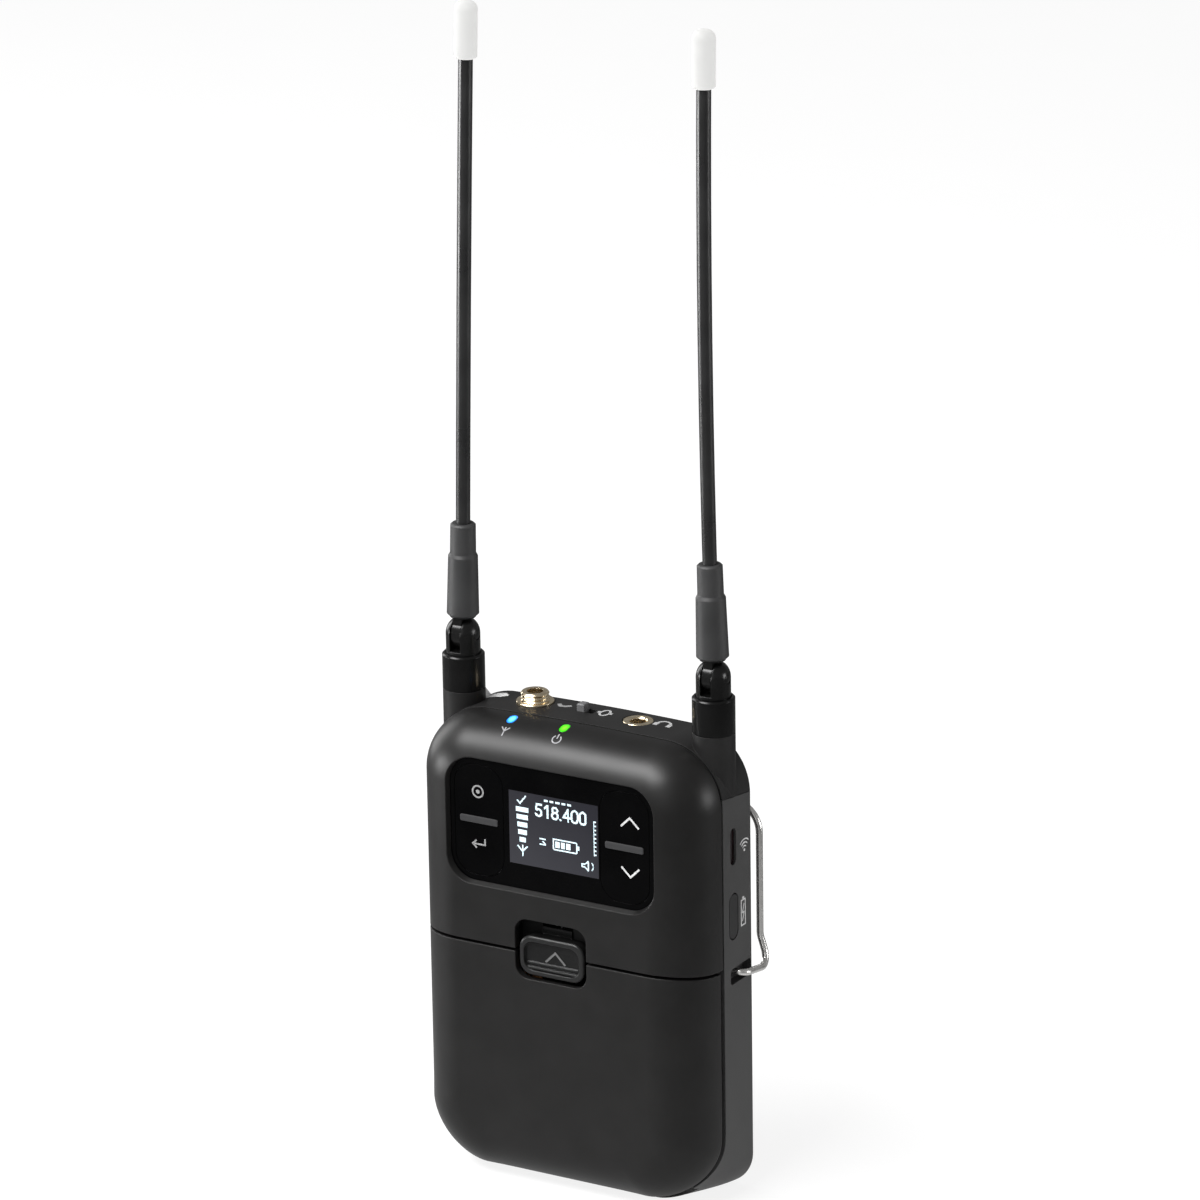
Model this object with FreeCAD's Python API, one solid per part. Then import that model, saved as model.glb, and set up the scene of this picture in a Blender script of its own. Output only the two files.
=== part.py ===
import FreeCAD, Part
import math
import os

from FreeCAD import Vector

# Two-aerial wireless bodypack receiver, in millimetres.
# The pack stands on its base: +Z is up, +X is to the right of the front face, and the front faces -Y.
# The origin is the middle of the base. Two whip aerials stand on the top corners.

# Case
case_width = 68.4
case_depth = 24.4
brow = 7.6                        # control panel's top up to the case's top
wall = 1.6
top_corner_radius = 13.0
rear_low_corner_radius = 7.4      # lower corners at the rear face
front_low_corner_radius = 21.0    # lower corners where the front face would be without its rounding
front_edge_radius = 11.6
rear_edge_radius = 1.0
crown_radius = 700.0
front_shell_depth = 12.2          # front face back to the joint between the two shells
shell_gap = 0.12
cap_seam_drop = 11.4              # case top down to the cap's lower edge, at the shell joint
cap_seam_slope = 0.14
cap_lip = 2.4
lip_thickness = 0.9

# Seam between the front shell and the battery door
door_height = 53.5
seam_gap = 0.7
seam_flat = 48.0
seam_droop = 1.0
door_side_gap = 0.25
seam_step_depth = 0.9             # step along the shells' edges where they meet
shell_step = 0.5
door_step = 1.3
door_sweep_radius = 24.0
door_sweep_height = 17.5

# Fits
press_clearance = 0.02
running_clearance = 0.05
slip_clearance = 0.1
free_clearance = 0.25

# Control panel
panel_width = 48.4
panel_height = 26.6
panel_radius = 5.6
panel_thickness = 1.15
panel_recess = 1.3
panel_above_seam = 13.3           # door seam up to the panel's lower edge
rim_bevel = 0.6
panel_ledge = 1.4
frame_width = 1.6
frame_depth = 1.2
screen_width = 21.2
screen_height = 15.9
screen_offset = 0.5
key_width = 11.5
key_margin = 1.3                  # panel's edge in to a key's end
key_radius = 4.4
key_thickness = 0.8
key_offset = 17.3
key_gap = 0.12
key_bar_length = 9.1
key_bar_width = 1.5
key_bar_height = 0.3
key_bar_radius = 0.45
key_bar_edge = 0.2
dome_offset = 8.0
dome_radius = 1.6
dome_play = 0.35
key_post_radius = 0.9
key_post_gap = 0.22
board_thickness = 1.0
control_board_setback = 3.35      # panel's back face to the control board's front face
control_board_width = 43.0
control_board_height = 24.4
module_width = 25.8
module_height = 22.6

# Light windows on the front shoulder
light_width = 1.9
light_length = 2.8
light_depth = 3.0
link_light_x = -13.4
power_light_x = -0.9
light_setback = 8.8               # front face back to the windows' middle

# Connectors and switch on the top
connector_y = 7.0
output_jack_x = -14.1
phones_jack_x = 10.5
plug_radius = 1.75
plug_depth = 13.0
thread_radius = 3.0
thread_rise = 1.9
thread_pitch = 0.75
thread_depth = 0.28
flange_radius = 4.0
flange_thickness = 0.65
bushing_length = 7.5
ring_radius = 3.2
ring_length = 2.2
jack_body_width = 7.6
jack_body_length = 12.0
switch_x = -2.6
switch_travel = 1.8
knob_width = 1.7
knob_depth = 2.2
knob_rise = 1.6
knob_foot = 0.5
switch_body_height = 4.0

# Aerials
boss_radius = 4.45
boss_rise = 1.5                   # case top up to the boss's top
boss_floor = 5.0                  # boss's top down to its inner pocket
aerial_setback = 4.5              # shell joint back to the aerial axis
collar_length = 7.65
collar_cup = 4.2
cup_radius = 3.75
stem_radius = 2.0
stem_tail = 1.8
clip_groove_depth = 0.5
retainer_radius = 2.9
retainer_thickness = 0.6
fork_radius = 3.6
fork_slot = 2.5
pivot_rise = 4.2                  # collar's top up to the fold pin
fork_slot_floor = 3.4
pin_radius = 1.1
tongue_thickness = 2.1
tongue_radius = 3.15
shoulder_start = 3.65
shoulder_radius = 2.7
shoulder_length = 0.4
spigot_radius = 1.3
spigot_length = 9.0
sleeve_length = 19.9
sleeve_foot_radius = 3.38
sleeve_step_radius = 3.1
sleeve_step = 12.8
sleeve_neck_radius = 2.72
sleeve_top_radius = 2.65
whip_radius = 1.5
whip_length = 115.8
tip_radius = 2.4
tip_length = 11.9
tip_bore = 6.0
left_lean_angle = 1.45
left_bend_angle = 0.6
right_lean_angle = -1.4
right_bend_angle = 2.4

# Latch
pocket_width = 17.0
pocket_rise = 7.2                 # seam up to the pocket's top
pocket_drop = 6.0                 # seam down to the notch in the door
pocket_radius = 3.0
latch_width = 15.4
latch_height = 8.6
latch_radius = 2.8
latch_gap = 0.9
latch_inset = 0.25
latch_block = 2.75
latch_rim = 1.1
latch_field_depth = 0.7
latch_ridge = 0.5
stem_width = 7.0
latch_stem_depth = 1.7
latch_stem_top = 5.1              # seam up to the stem's top
hook_depth = 1.0
hook_reach = 1.8                  # hook below the door's notch
housing_width = 20.6
housing_depth = 4.25
housing_height = 10.8
channel_roof = 10.1               # seam up to the spring's seat
keeper_width = 9.0
keeper_thickness = 1.1
keeper_top_gap = 0.2
shelf_drop = 3.8
spring_radius = 0.6
spring_wire = 0.16
spring_turns = 6

# Door hinge
hinge_setback = 7.2
hinge_height = 3.4
hinge_pin_radius = 1.0
barrel_radius = 2.1
relief_radius = 3.4
relief_length = 57.0
ear_radius = 1.9
ear_tab = 1.5
ear_foot = 2.2
hinge_reach = 14.0                # middle of the case to the middle of a barrel
barrel_length = 6.4
ear_length = 2.5
ear_gap = 0.3

# Batteries
cell_radius = 7.1
cell_length = 49.3
cell_nub_radius = 2.7
cell_nub = 1.0
cell_floor = 6.0
cell_spacing = 15.0
cell_y = 2.9
cell_play = 0.15
tray_wall = 1.6
tray_base = 0.6
tray_front = 2.6                  # tray's front edge ahead of the cells' middle
contact_radius = 3.4
contact_thickness = 0.35
contact_strip = 0.9
terminal_gap = 0.1
contact_wire = 0.25
contact_spring_radius = 3.0
contact_spring_turns = 4
contact_spring_play = 0.15

# Right side
infrared_drop = 22.7              # case top down to the infrared slot's middle
infrared_length = 8.0
infrared_width = 2.4
side_port_setback = 4.15          # shell joint back to the infrared slot and the charge port
infrared_recess = 0.5
infrared_window = 1.0
charge_drop = 38.0                # case top down to the charge port's middle
cover_length = 10.2
cover_width = 3.95
cover_thickness = 1.1
cover_inset = 0.06
port_length = 9.1
port_width = 3.3
port_shell = 0.3
port_depth = 7.0
plug_stub = 3.2
port_blade = 0.7

# Belt clip
clip_wire_radius = 0.75
clip_pivot_setback = 6.6          # shell joint back to the clip's pivot
clip_pivot_drop = 3.6             # door seam down to the clip's pivot
clip_side_gap = 0.3
clip_grip = 5.0
clip_slot_depth = 2.0             # slots in the case's sides that the clip's ends swing in
clip_slot_height = 3.5
clip_slot_reach = 3.9             # pivot forward to the slot's front end
clip_slot_margin = 1.0            # slot's rear end to the rear face
clip_slot_corner = 0.9
clip_slot_wall = 1.2
clip_boss_radius = 2.6
clip_boss_length = 3.4
clip_heel = 5.0                   # rear face back to the clip's heel, less the wire
clip_heel_drop = 2.2
clip_heel_inset = 0.55
clip_stand_off = 4.0             # rear face to the upright wires
clip_upright_inset = 1.0
clip_knee_rise = 4.6
clip_top_drop = 18.0              # case top down to the clip's top wire
clip_bend = 6.0
clip_tight_bend = 1.9
clip_heel_bend = 2.6

# Screws
screw_head_radius = 1.9
screw_head = 0.8
screw_radius = 0.75
screw_pilot = 0.8
screw_hole = 1.15
screw_slot = 0.5
post_radius = 2.3
post_gap = 0.1
screw_reach = 6.0                 # shank beyond the rear wall
upper_screw_inset = 9.6           # case side in to the upper screws
upper_screw_drop = 18.2
lower_screw_inset = 13.2
lower_screw_rise = 9.0            # seam up to the lower screws

# Main board
board_y = 1.3
board_side_gap = 4.1
board_top_drop = 3.4
board_gap = 1.15                  # battery tray's top up to the board
can_top_drop = 14.5               # case top down to the shield cans
can_post_gap = 0.6                # shield can to a screw post
can_spacing = 3.0
can_sheet = 0.3
can_height = 2.2
can_length = 20.0

# Derived places
front_y = -case_depth / 2
rear_y = case_depth / 2
half_width = case_width / 2
split_y = front_y + front_shell_depth
panel_bottom = door_height + panel_above_seam
panel_z = panel_bottom + panel_height / 2
key_height = panel_height - 2 * key_margin
case_height = panel_bottom + panel_height + brow
panel_front = front_y + panel_recess
panel_back = panel_front + panel_thickness
control_board_y = panel_back + control_board_setback
aerial_x = half_width - boss_radius
aerial_y = split_y + aerial_setback
boss_top = case_height + boss_rise
collar_top = boss_top + collar_length
cup_floor = collar_top - collar_cup
fold_z = collar_top + pivot_rise
hinge_y = front_y + hinge_setback
notch_z = door_height - pocket_drop
latch_bottom = notch_z + latch_gap
latch_front = front_y + latch_inset
latch_back = latch_front + latch_block
inner_side = half_width - wall
side_port_y = split_y + side_port_setback
clip_pivot_y = split_y + clip_pivot_setback
clip_pivot_height = door_height - clip_pivot_drop
clip_top = case_height - clip_top_drop
infrared_height = case_height - infrared_drop
charge_height = case_height - charge_drop
upper_screw_x = half_width - upper_screw_inset
lower_screw_x = half_width - lower_screw_inset
cell_top = cell_floor + cell_length + cell_nub
tray_floor = wall + running_clearance + tray_base
tray_ceiling = cell_top + terminal_gap + contact_thickness
board_bottom = tray_ceiling + tray_wall + board_gap
far = 3 * case_width


def point(x, y, z):
    return Vector(x, y, z)


def box(x0, x1, y0, y1, z0, z1):
    return Part.makeBox(x1 - x0, y1 - y0, z1 - z0, point(x0, y0, z0))


def rod(radius, start, end):
    axis = end.sub(start)
    return Part.makeCylinder(radius, axis.Length, start, axis)


def upright(radius, x, y, z0, z1):
    return rod(radius, point(x, y, z0), point(x, y, z1))


def fused(first, *others):
    return first.fuse(list(others)).removeSplitter()


def turned(profile, centre):
    """Solid of revolution about the upright axis through centre; profile is (radius, height) pairs."""
    corners = [point(r, 0, z) for r, z in profile]
    solid = Part.Face(Part.makePolygon(corners + corners[:1])).revolve(point(0, 0, 0), point(0, 0, 1), 360)
    solid.translate(centre)
    return solid


def rounded_wire(width, height, radius, centre_x, centre_z, y):
    """Rounded rectangle seen from the front, in the plane y."""
    a = width / 2 - radius
    b = height / 2 - radius
    diagonal = radius / math.sqrt(2)
    edges = []
    for turn in range(4):
        along, across = ((a, b), (b, a))[turn % 2]
        angle = math.radians(90 * turn)
        def place(u, v):
            x = centre_x + u * math.cos(angle) - v * math.sin(angle)
            z = centre_z + u * math.sin(angle) + v * math.cos(angle)
            return point(x, y, z)
        start = place(along + radius, -across)
        end = place(along + radius, across)
        middle = place(along + diagonal, across + diagonal)
        finish = place(along, across + radius)
        if across > 1e-6:
            edges.append(Part.LineSegment(start, end).toShape())
        edges.append(Part.Arc(end, middle, finish).toShape())
    return Part.Wire(Part.__sortEdges__(edges))


def plate(width, height, radius, centre_x, centre_z, y0, y1):
    """Plate with rounded corners that faces the front, from y0 back to y1."""
    wire = rounded_wire(width, height, radius, centre_x, centre_z, y0)
    return Part.Face(wire).extrude(point(0, y1 - y0, 0))


def side_plate(length, width, centre_y, centre_z, x0, x1):
    """Round-ended upright plate that faces the right side, from x0 out to x1."""
    radius = width / 2
    half = length / 2 - radius
    body = box(x0, x1, centre_y - radius, centre_y + radius, centre_z - half, centre_z + half)
    ends = [rod(radius, point(x0, centre_y, centre_z + s * half), point(x1, centre_y, centre_z + s * half))
            for s in (-1, 1)]
    return fused(body, *ends)


def case_outline(inset, y):
    """Outline of the case from the front before its lower corners are rounded; the top is gently crowned."""
    half = half_width - inset
    high_radius = top_corner_radius - inset
    crown = crown_radius - inset
    crown_z = case_height - inset - crown
    corner_x = half - high_radius
    corner_z = crown_z + math.sqrt((crown - high_radius) ** 2 - corner_x ** 2)
    reach = crown / (crown - high_radius)
    shoulder_x = corner_x * reach
    shoulder_z = crown_z + (corner_z - crown_z) * reach
    angle = (math.atan2(shoulder_z - corner_z, shoulder_x - corner_x)) / 2
    bend_x = corner_x + high_radius * math.cos(angle)
    bend_z = corner_z + high_radius * math.sin(angle)
    edges = [Part.Arc(point(-shoulder_x, y, shoulder_z), point(0, y, case_height - inset),
                      point(shoulder_x, y, shoulder_z)).toShape(),
             Part.LineSegment(point(-half, y, inset), point(half, y, inset)).toShape()]
    for s in (-1, 1):
        edges += [
            Part.Arc(point(s * shoulder_x, y, shoulder_z), point(s * bend_x, y, bend_z),
                     point(s * half, y, corner_z)).toShape(),
            Part.LineSegment(point(s * half, y, corner_z), point(s * half, y, inset)).toShape()]
    return Part.Wire(Part.__sortEdges__(edges))


def case_solid(inset, rear_round=0.0):
    """The case as one block, inset all round, with its deeply rounded front edge."""
    front = front_y + inset
    rear = rear_y - inset
    solid = Part.Face(case_outline(inset, rear)).extrude(point(0, front - rear, 0))
    low_edges = [e for e in solid.Edges if e.BoundBox.ZMax < inset + 0.01 and e.BoundBox.YLength > 1]
    for edge in low_edges:
        radii = (front_low_corner_radius - inset, rear_low_corner_radius - inset)
        if edge.Vertexes[0].Point.y > edge.Vertexes[-1].Point.y:
            radii = radii[::-1]
        solid = solid.makeFillet(radii[0], radii[1], [edge])
    front_edges = [e for e in solid.Edges if e.BoundBox.YMax < front + 0.01]
    solid = solid.makeFillet(front_edge_radius - inset, front_edges)
    if rear_round > 0:
        rear_edges = [e for e in solid.Edges if e.BoundBox.YMin > rear - 0.01]
        solid = solid.makeFillet(rear_round, rear_edges)
    return solid


def front_region(gap):
    """Everything ahead of the joint between the shells; the joint sweeps forward near the base."""
    edge = split_y - gap
    radius = door_sweep_radius
    low = -2.0
    end = math.asin((door_sweep_height - low) / radius)
    middle = end / 2
    sweep = [point(0, edge - radius * (1 - math.cos(a)), door_sweep_height - radius * math.sin(a))
             for a in (0, middle, end)]
    front = front_y - far
    high = case_height + far
    ring = [sweep[2], point(0, front, low), point(0, front, high), point(0, edge, high), sweep[0]]
    edges = [Part.LineSegment(a, b).toShape() for a, b in zip(ring, ring[1:])]
    edges.append(Part.Arc(*sweep).toShape())
    face = Part.Face(Part.Wire(Part.__sortEdges__(edges)))
    face.translate(point(-far, 0, 0))
    return face.extrude(point(2 * far, 0, 0))


def above_seam(shift):
    """Everything above the seam of the battery door, moved up by shift; it droops at the sides."""
    flat = seam_flat / 2
    level = door_height + shift
    run = half_width - flat
    radius = (run ** 2 + seam_droop ** 2) / (2 * seam_droop)
    end = math.asin((run + 1) / radius)
    ring = []
    edges = []
    for s in (-1, 1):
        curve = [point(s * (flat + radius * math.sin(a)), 0, level - radius * (1 - math.cos(a)))
                 for a in (0, end / 2, end)]
        edges.append(Part.Arc(*curve).toShape())
        ring.append(curve)
    high = case_height + far
    path = [ring[0][2], point(ring[0][2].x, 0, high), point(ring[1][2].x, 0, high), ring[1][2]]
    edges += [Part.LineSegment(a, b).toShape() for a, b in zip(path, path[1:])]
    edges.append(Part.LineSegment(ring[0][0], ring[1][0]).toShape())
    face = Part.Face(Part.Wire(Part.__sortEdges__(edges)))
    face.translate(point(0, -far, 0))
    return face.extrude(point(0, 2 * far, 0))


def cap_region(shift):
    """Everything above the top cap's lower edge, which slopes down to the rear."""
    def edge(y):
        return case_height - cap_seam_drop - cap_seam_slope * (y - split_y) + shift
    front, rear = front_y - case_depth, rear_y + case_depth
    high = case_height + far
    ring = [point(-far, front, edge(front)), point(-far, rear, edge(rear)),
            point(-far, rear, high), point(-far, front, high)]
    return Part.Face(Part.makePolygon(ring + ring[:1])).extrude(point(2 * far, 0, 0))


def light_prism(x, clearance):
    y = front_y + light_setback
    radius = light_width / 2 + clearance
    half = (light_length - light_width) / 2
    low, high = case_height - light_depth - wall, case_height + 5
    body = box(x - radius, x + radius, y - half, y + half, low, high)
    ends = [upright(radius, x, y + s * half, low, high) for s in (-1, 1)]
    return fused(body, *ends)


def screw_places():
    for s in (-1, 1):
        yield s * upper_screw_x, case_height - upper_screw_drop
        yield s * lower_screw_x, door_height + lower_screw_rise


def coil(radius, wire, height, turns, base):
    """Compression spring standing on base, with its round wire inside the given height."""
    helix = Part.makeHelix((height - 2 * wire) / turns, height - 2 * wire, radius)
    section = Part.Wire(Part.makeCircle(wire, point(radius, 0, 0), point(0, 1, 0)))
    spring = Part.Wire(helix).makePipeShell([section], True, True)
    spring.translate(base.add(point(0, 0, wire)))
    return spring


def bent_wire(corners, bends, radius):
    """Round wire along straight runs joined by tangent arcs, one bend radius for each inner corner."""
    edges = []
    here = corners[0]
    for before, corner, after, bend in zip(corners, corners[1:], corners[2:], bends):
        a = before.sub(corner).normalize()
        b = after.sub(corner).normalize()
        half = a.getAngle(b) / 2
        tangent = bend / math.tan(half)
        centre = corner.add(a.add(b).normalize() * (bend / math.sin(half)))
        start = corner.add(a * tangent)
        end = corner.add(b * tangent)
        middle = centre.add(corner.sub(centre).normalize() * bend)
        edges.append(Part.LineSegment(here, start).toShape())
        edges.append(Part.Arc(start, middle, end).toShape())
        here = end
    edges.append(Part.LineSegment(here, corners[-1]).toShape())
    path = Part.Wire(edges)
    section = Part.Wire(Part.makeCircle(radius, corners[0], corners[1].sub(corners[0])))
    return path.makePipeShell([section], True, False)


def joint_step(gap, width):
    """Everything outside the stepped-down skin along the joint, from gap ahead of it to width more."""
    around = box(-far, far, front_y - far, rear_y + far, -far, case_height + far)
    return around.cut(case_solid(seam_step_depth)).cut(front_region(gap + width))


case_block = case_solid(0.0, rear_edge_radius)
case_cavity = case_solid(wall)
skin = case_block.cut(case_cavity)


def front_shell():
    shell = skin.common(front_region(shell_gap)).common(above_seam(seam_gap / 2))
    frame = plate(panel_width + 2 * frame_width, panel_height + 2 * frame_width,
                  panel_radius + frame_width, 0, panel_z, front_y, panel_back + frame_depth)
    frame = frame.common(case_solid(wall / 2))
    posts = [rod(post_radius, point(x, front_y, z), point(x, rear_y - wall - post_gap, z))
             for x, z in screw_places()]
    posts = [post.common(case_solid(wall / 2)) for post in posts]
    shell = fused(shell, frame, *posts)
    rims = [rounded_wire(panel_width + 2 * grow, panel_height + 2 * grow, panel_radius + grow, 0, panel_z, y)
            for y, grow in ((panel_front, slip_clearance), (front_y, rim_bevel))]
    bevel = Part.makeLoft(rims, True, True)
    seat = plate(panel_width + 2 * slip_clearance, panel_height + 2 * slip_clearance,
                 panel_radius + slip_clearance, 0, panel_z, front_y - 1, panel_back)
    window = plate(panel_width - 2 * panel_ledge, panel_height - 2 * panel_ledge,
                   panel_radius - panel_ledge, 0, panel_z, front_y, control_board_y)
    pocket_top = door_height + pocket_rise
    pocket = plate(pocket_width, 2 * pocket_rise, pocket_radius, 0, pocket_top - pocket_rise,
                   front_y - 1, front_y + wall + slip_clearance)
    cuts = [bevel, seat, window, pocket, joint_step(shell_gap, shell_step)]
    cuts += [light_prism(x, running_clearance) for x in (link_light_x, power_light_x)]
    cuts += [rod(screw_pilot, point(x, front_y + 3 * wall, z), point(x, rear_y, z)) for x, z in screw_places()]
    return shell.cut(cuts)


def hinge_relief():
    """Room for the door's lower edge to swing, short of the bottom corners."""
    half = relief_length / 2
    return rod(relief_radius, point(-half, hinge_y, hinge_height), point(half, hinge_y, hinge_height))


def clip_slot(side, grow, x0, x1):
    """Slot along one side for the clip's end, larger all round by grow, from x0 out to x1."""
    front = clip_pivot_y - clip_slot_reach - grow
    back = rear_y - clip_slot_margin + min(grow, clip_slot_margin)
    half = clip_slot_height / 2 + grow
    near, far_out = sorted((side * x0, side * x1))
    slot = box(near, far_out, front, back, clip_pivot_height - half, clip_pivot_height + half)
    upright_corners = [e for e in slot.Edges if e.BoundBox.XLength > 0.5 * (far_out - near)]
    return slot.makeFillet(clip_slot_corner + grow / 2, upright_corners)


def rear_shell():
    shell = skin.cut(front_region(0)).cut(cap_region(0))
    ears = []
    for s in (-1, 1):
        for x in (hinge_reach - barrel_length / 2 - ear_gap - ear_length,
                  hinge_reach + barrel_length / 2 + ear_gap):
            x0, x1 = sorted((s * x, s * (x + ear_length)))
            disc = rod(ear_radius, point(x0, hinge_y, hinge_height), point(x1, hinge_y, hinge_height))
            foot_y = hinge_y + ear_tab
            tab = box(x0, x1, hinge_y, foot_y + ear_foot, hinge_height - ear_tab, hinge_height)
            foot = box(x0, x1, foot_y, foot_y + ear_foot, 0, hinge_height)
            ears.append(fused(disc, tab, foot).common(case_block))
    pivots = [rod(clip_boss_radius, point(s * (inner_side + wall / 2), clip_pivot_y, clip_pivot_height),
                  point(s * (inner_side - clip_boss_length), clip_pivot_y, clip_pivot_height))
              for s in (-1, 1)]
    slot_floor = half_width - clip_slot_depth - clip_slot_wall
    slot_back = half_width - wall / 2
    backs = [clip_slot(s, clip_slot_wall, slot_floor, slot_back).common(case_block) for s in (-1, 1)]
    shell = fused(shell.cut(hinge_relief()), *ears, *pivots, *backs)
    cuts = [rod(hinge_pin_radius + press_clearance, point(-hinge_reach - barrel_length, hinge_y, hinge_height),
                point(hinge_reach + barrel_length, hinge_y, hinge_height))]
    for s in (-1, 1):
        inside = s * (inner_side - clip_boss_length - 1)
        cuts.append(rod(clip_wire_radius + running_clearance, point(inside, clip_pivot_y, clip_pivot_height),
                        point(s * (half_width + 1), clip_pivot_y, clip_pivot_height)))
        cuts.append(clip_slot(s, 0, half_width - clip_slot_depth, half_width + 1))
    cuts.append(side_plate(infrared_length, infrared_width, side_port_y, infrared_height,
                           inner_side - 1, half_width + 1))
    cuts.append(side_plate(cover_length, cover_width, side_port_y, charge_height,
                           half_width - cover_thickness - cover_inset, half_width + 1))
    cuts.append(side_plate(port_length + 2 * slip_clearance, port_width + 2 * slip_clearance,
                           side_port_y, charge_height, inner_side - 1, half_width))
    for x, z in screw_places():
        cuts.append(rod(screw_hole, point(x, rear_y - wall - 1, z), point(x, rear_y + 1, z)))
        cuts.append(rod(screw_head_radius + free_clearance, point(x, rear_y - screw_head, z),
                        point(x, rear_y + 1, z)))
    return shell.cut(cuts)


def jack_spot():
    return upright(flange_radius + slip_clearance, output_jack_x, connector_y,
                   flange_seat(), case_height + 5)


def flange_seat():
    """Height of the flat that the threaded jack's flange sits on, a little below the crowned top."""
    return case_height - (abs(output_jack_x) + flange_radius) ** 2 / (2 * crown_radius)


def top_cap():
    cap = skin.common(cap_region(shell_gap)).cut(front_region(0))
    bosses = [upright(boss_radius, s * aerial_x, aerial_y, case_height - 2 * cap_seam_drop, boss_top)
              for s in (-1, 1)]
    bosses = [boss.common(cap_region(shell_gap)).cut(front_region(0)) for boss in bosses]
    tongue = case_solid(wall + press_clearance).cut(case_solid(wall + lip_thickness))
    tongue = tongue.common(cap_region(-cap_lip)).cut(cap_region(2 * shell_gap + wall)).cut(front_region(0))
    cap = fused(cap, tongue, *bosses)
    slot_half = (switch_travel + knob_width) / 2 + free_clearance
    slot_x = switch_x + switch_travel / 2
    slot_y = knob_depth / 2 + slip_clearance
    cuts = [jack_spot(),
            upright(thread_radius + slip_clearance, output_jack_x, connector_y,
                    case_height - 2 * wall, case_height + 1),
            upright(ring_radius + slip_clearance, phones_jack_x, connector_y,
                    case_height - 2 * wall, case_height + 1),
            box(slot_x - slot_half, slot_x + slot_half, connector_y - slot_y, connector_y + slot_y,
                case_height - 2 * wall, case_height + 1)]
    for s in (-1, 1):
        cuts.append(upright(stem_radius + running_clearance, s * aerial_x, aerial_y,
                            case_height - 2 * cap_seam_drop, boss_top + 1))
        cuts.append(upright(retainer_radius + free_clearance, s * aerial_x, aerial_y,
                            case_height - 2 * cap_seam_drop, boss_top - boss_floor))
    return cap.cut(cuts)


def battery_door():
    door = skin.common(front_region(door_side_gap)).cut(above_seam(-seam_gap / 2))
    barrels = []
    for s in (-1, 1):
        x0, x1 = s * hinge_reach - barrel_length / 2, s * hinge_reach + barrel_length / 2
        barrels.append(rod(barrel_radius, point(x0, hinge_y, hinge_height), point(x1, hinge_y, hinge_height)))
    keeper_back = latch_back + hook_depth + slip_clearance + keeper_thickness
    keeper_top = notch_z - keeper_top_gap
    shelf_top = keeper_top - shelf_drop
    half = keeper_width / 2
    upright_part = box(-half, half, keeper_back - keeper_thickness, keeper_back, shelf_top - wall, keeper_top)
    shelf = box(-half, half, front_y + wall / 2, keeper_back, shelf_top - wall, shelf_top)
    door = fused(door, *barrels, upright_part, shelf)
    notch = plate(pocket_width, 2 * pocket_drop, pocket_radius, 0, notch_z + pocket_drop,
                  front_y - 1, front_y + wall + slip_clearance)
    cuts = [notch, joint_step(door_side_gap, door_step), rod(hinge_pin_radius + running_clearance,
                       point(-hinge_reach - barrel_length, hinge_y, hinge_height),
                       point(hinge_reach + barrel_length, hinge_y, hinge_height))]
    for s in (-1, 1):
        for x in (hinge_reach - barrel_length / 2 - 2 * ear_gap - ear_length,
                  hinge_reach + barrel_length / 2):
            x0, x1 = sorted((s * x, s * (x + ear_length + 2 * ear_gap)))
            cuts.append(rod(barrel_radius + free_clearance, point(x0, hinge_y, hinge_height),
                            point(x1, hinge_y, hinge_height)))
    return door.cut(cuts)


def door_hinge_pins():
    reach = barrel_length / 2 + ear_gap + ear_length - slip_clearance
    pins = [rod(hinge_pin_radius, point(s * hinge_reach - reach, hinge_y, hinge_height),
                point(s * hinge_reach + reach, hinge_y, hinge_height)) for s in (-1, 1)]
    return Part.makeCompound(pins)


def door_latch():
    middle = latch_bottom + latch_height / 2
    block = plate(latch_width, latch_height, latch_radius, 0, middle, latch_front, latch_back)
    block = block.makeFillet(latch_ridge, [e for e in block.Edges if e.BoundBox.YMax < latch_front + 0.01])
    field = plate(latch_width - 2 * latch_rim, latch_height - 2 * latch_rim, latch_radius - latch_rim / 2,
                  0, middle, latch_front - 1, latch_front + latch_field_depth)
    half = stem_width / 2
    seat = latch_stem_depth
    stem = box(-half, half, latch_back, latch_back + seat, notch_z + hook_reach, door_height + latch_stem_top)
    hook = box(-half, half, latch_back, latch_back + hook_depth, notch_z - hook_reach, middle)
    ridge_width = latch_width - 2 * latch_rim - 2 * latch_ridge
    field_bottom = latch_bottom + latch_rim
    ridges = []
    for step in range(2):
        z = field_bottom + latch_ridge / 2 + 2 * step * latch_ridge
        ridges.append(box(-ridge_width / 2, ridge_width / 2, latch_front + latch_ridge * (1 + step) / 2,
                          latch_front + latch_field_depth + latch_ridge, z, z + latch_ridge))
    return fused(block.cut(field), stem, hook, *ridges)


def latch_housing():
    half = housing_width / 2
    y0 = front_y + wall + running_clearance
    z0 = door_height + seam_gap
    body = box(-half, half, y0, y0 + housing_depth, z0, z0 + housing_height)
    pocket = plate(pocket_width, 2 * pocket_rise, pocket_radius, 0, door_height,
                   front_y, latch_back + 2 * slip_clearance)
    stem_half = stem_width / 2 + slip_clearance
    channel = box(-stem_half, stem_half, front_y, latch_back + latch_stem_depth + slip_clearance,
                  z0 - 1, door_height + channel_roof)
    upper = box(-stem_half, stem_half, front_y, latch_back, door_height + pocket_rise + 0.5, case_height)
    return body.cut(pocket).cut(channel.cut(upper))


def latch_spring():
    base = point(0, latch_back + latch_stem_depth / 2, door_height + latch_stem_top)
    return coil(spring_radius, spring_wire, channel_roof - latch_stem_top, spring_turns, base)


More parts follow.
